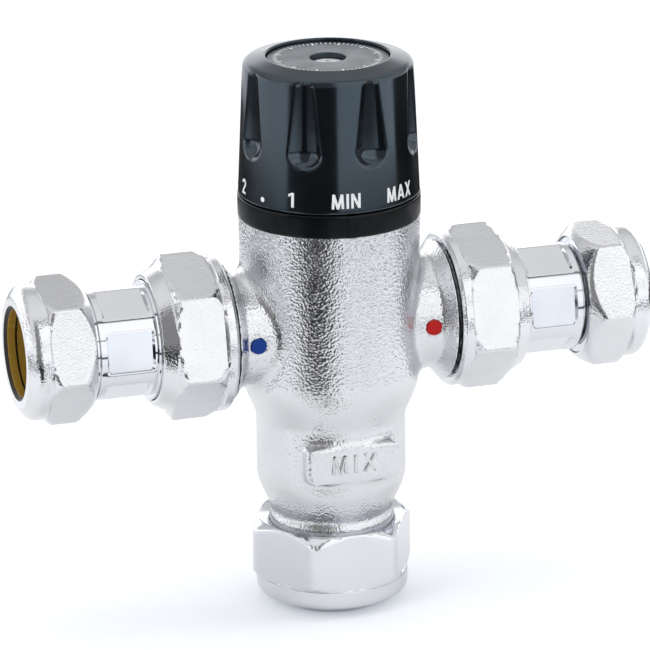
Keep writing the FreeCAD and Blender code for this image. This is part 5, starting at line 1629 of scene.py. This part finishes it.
        glossy = add_node(tree, "ShaderNodeMath", {0: reflected.outputs["Result"]}, {1: self.tent_brightness},
                          operation="MULTIPLY")
        ray = add_node(tree, "ShaderNodeLightPath")
        seen = add_node(tree, "ShaderNodeMix", {"Factor": ray.outputs["Is Glossy Ray"], "B": glossy.outputs[0]},
                        {"A": self.diffuse_level}, data_type="FLOAT")
        strength = add_node(tree, "ShaderNodeMix",
                            {"Factor": ray.outputs["Is Camera Ray"], "A": seen.outputs["Result"]},
                            {"B": self.camera_level}, data_type="FLOAT")
        shine = add_node(tree, "ShaderNodeBackground", {"Strength": strength.outputs["Result"]},
                         {"Color": linear_colour("#FFFFFF")})
        add_node(tree, "ShaderNodeOutputWorld", {"Surface": shine.outputs["Background"]})

    def light(self, name: str, place: tuple[float, float, float], size: tuple[float, float],
              power: float) -> None:
        """A rectangular softbox that faces the valve, and that reflections don't see.

        Args:
            name: Name of the light.
            place: Where it hangs, in metres.
            size: Width and height, in metres.
            power: Power in watts.
        """
        lamp = bpy.data.lights.new(name, "AREA")
        lamp.shape = "RECTANGLE"
        lamp.size, lamp.size_y = size
        lamp.energy = power
        made = bpy.data.objects.new(name, lamp)
        bpy.context.scene.collection.objects.link(made)
        made.location = place
        made.visible_glossy = False
        towards = Vector(self.aim) - Vector(place)
        made.rotation_euler = towards.to_track_quat("-Z", "Y").to_euler()

    def camera(self) -> None:
        """The camera, set by its azimuth from the front, elevation and distance from the tee."""
        azimuth, elevation = math.radians(self.camera_azimuth), math.radians(self.camera_elevation)
        low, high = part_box("cold_union_tail")
        tee = Vector((0.0, 0.0, (low.z + high.z) / 2.0))
        back = Vector((-math.sin(azimuth) * math.cos(elevation), -math.cos(azimuth) * math.cos(elevation),
                       math.sin(elevation)))
        right = Vector((math.cos(azimuth), -math.sin(azimuth), 0.0))
        turned = Matrix.Rotation(math.radians(self.camera_roll), 3, back)
        right = turned @ right
        up = back.cross(right)
        lens = bpy.data.cameras.new("camera")
        lens.sensor_width = self.sensor_width
        lens.lens = self.focal_length
        lens.clip_start, lens.clip_end = self.clip
        made = bpy.data.objects.new("camera", lens)
        bpy.context.scene.collection.objects.link(made)
        place = tee + back * self.camera_distance + right * self.camera_offset[0] + up * self.camera_offset[1]
        made.matrix_world = Matrix((
            (right.x, up.x, back.x, place.x),
            (right.y, up.y, back.y, place.y),
            (right.z, up.z, back.z, place.z),
            (0.0, 0.0, 0.0, 1.0)))
        bpy.context.scene.camera = made


def main() -> None:
    """Load the frame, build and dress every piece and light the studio."""
    logging.basicConfig(level=logging.INFO, format="%(message)s")
    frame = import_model()
    Dresser(frame["nodes"]).dress()
    Casting().build(frame["nodes"])
    Inlets().build()
    Outlet().build()
    Knob().build()
    Studio().build()


if __name__ == "__main__":
    main()
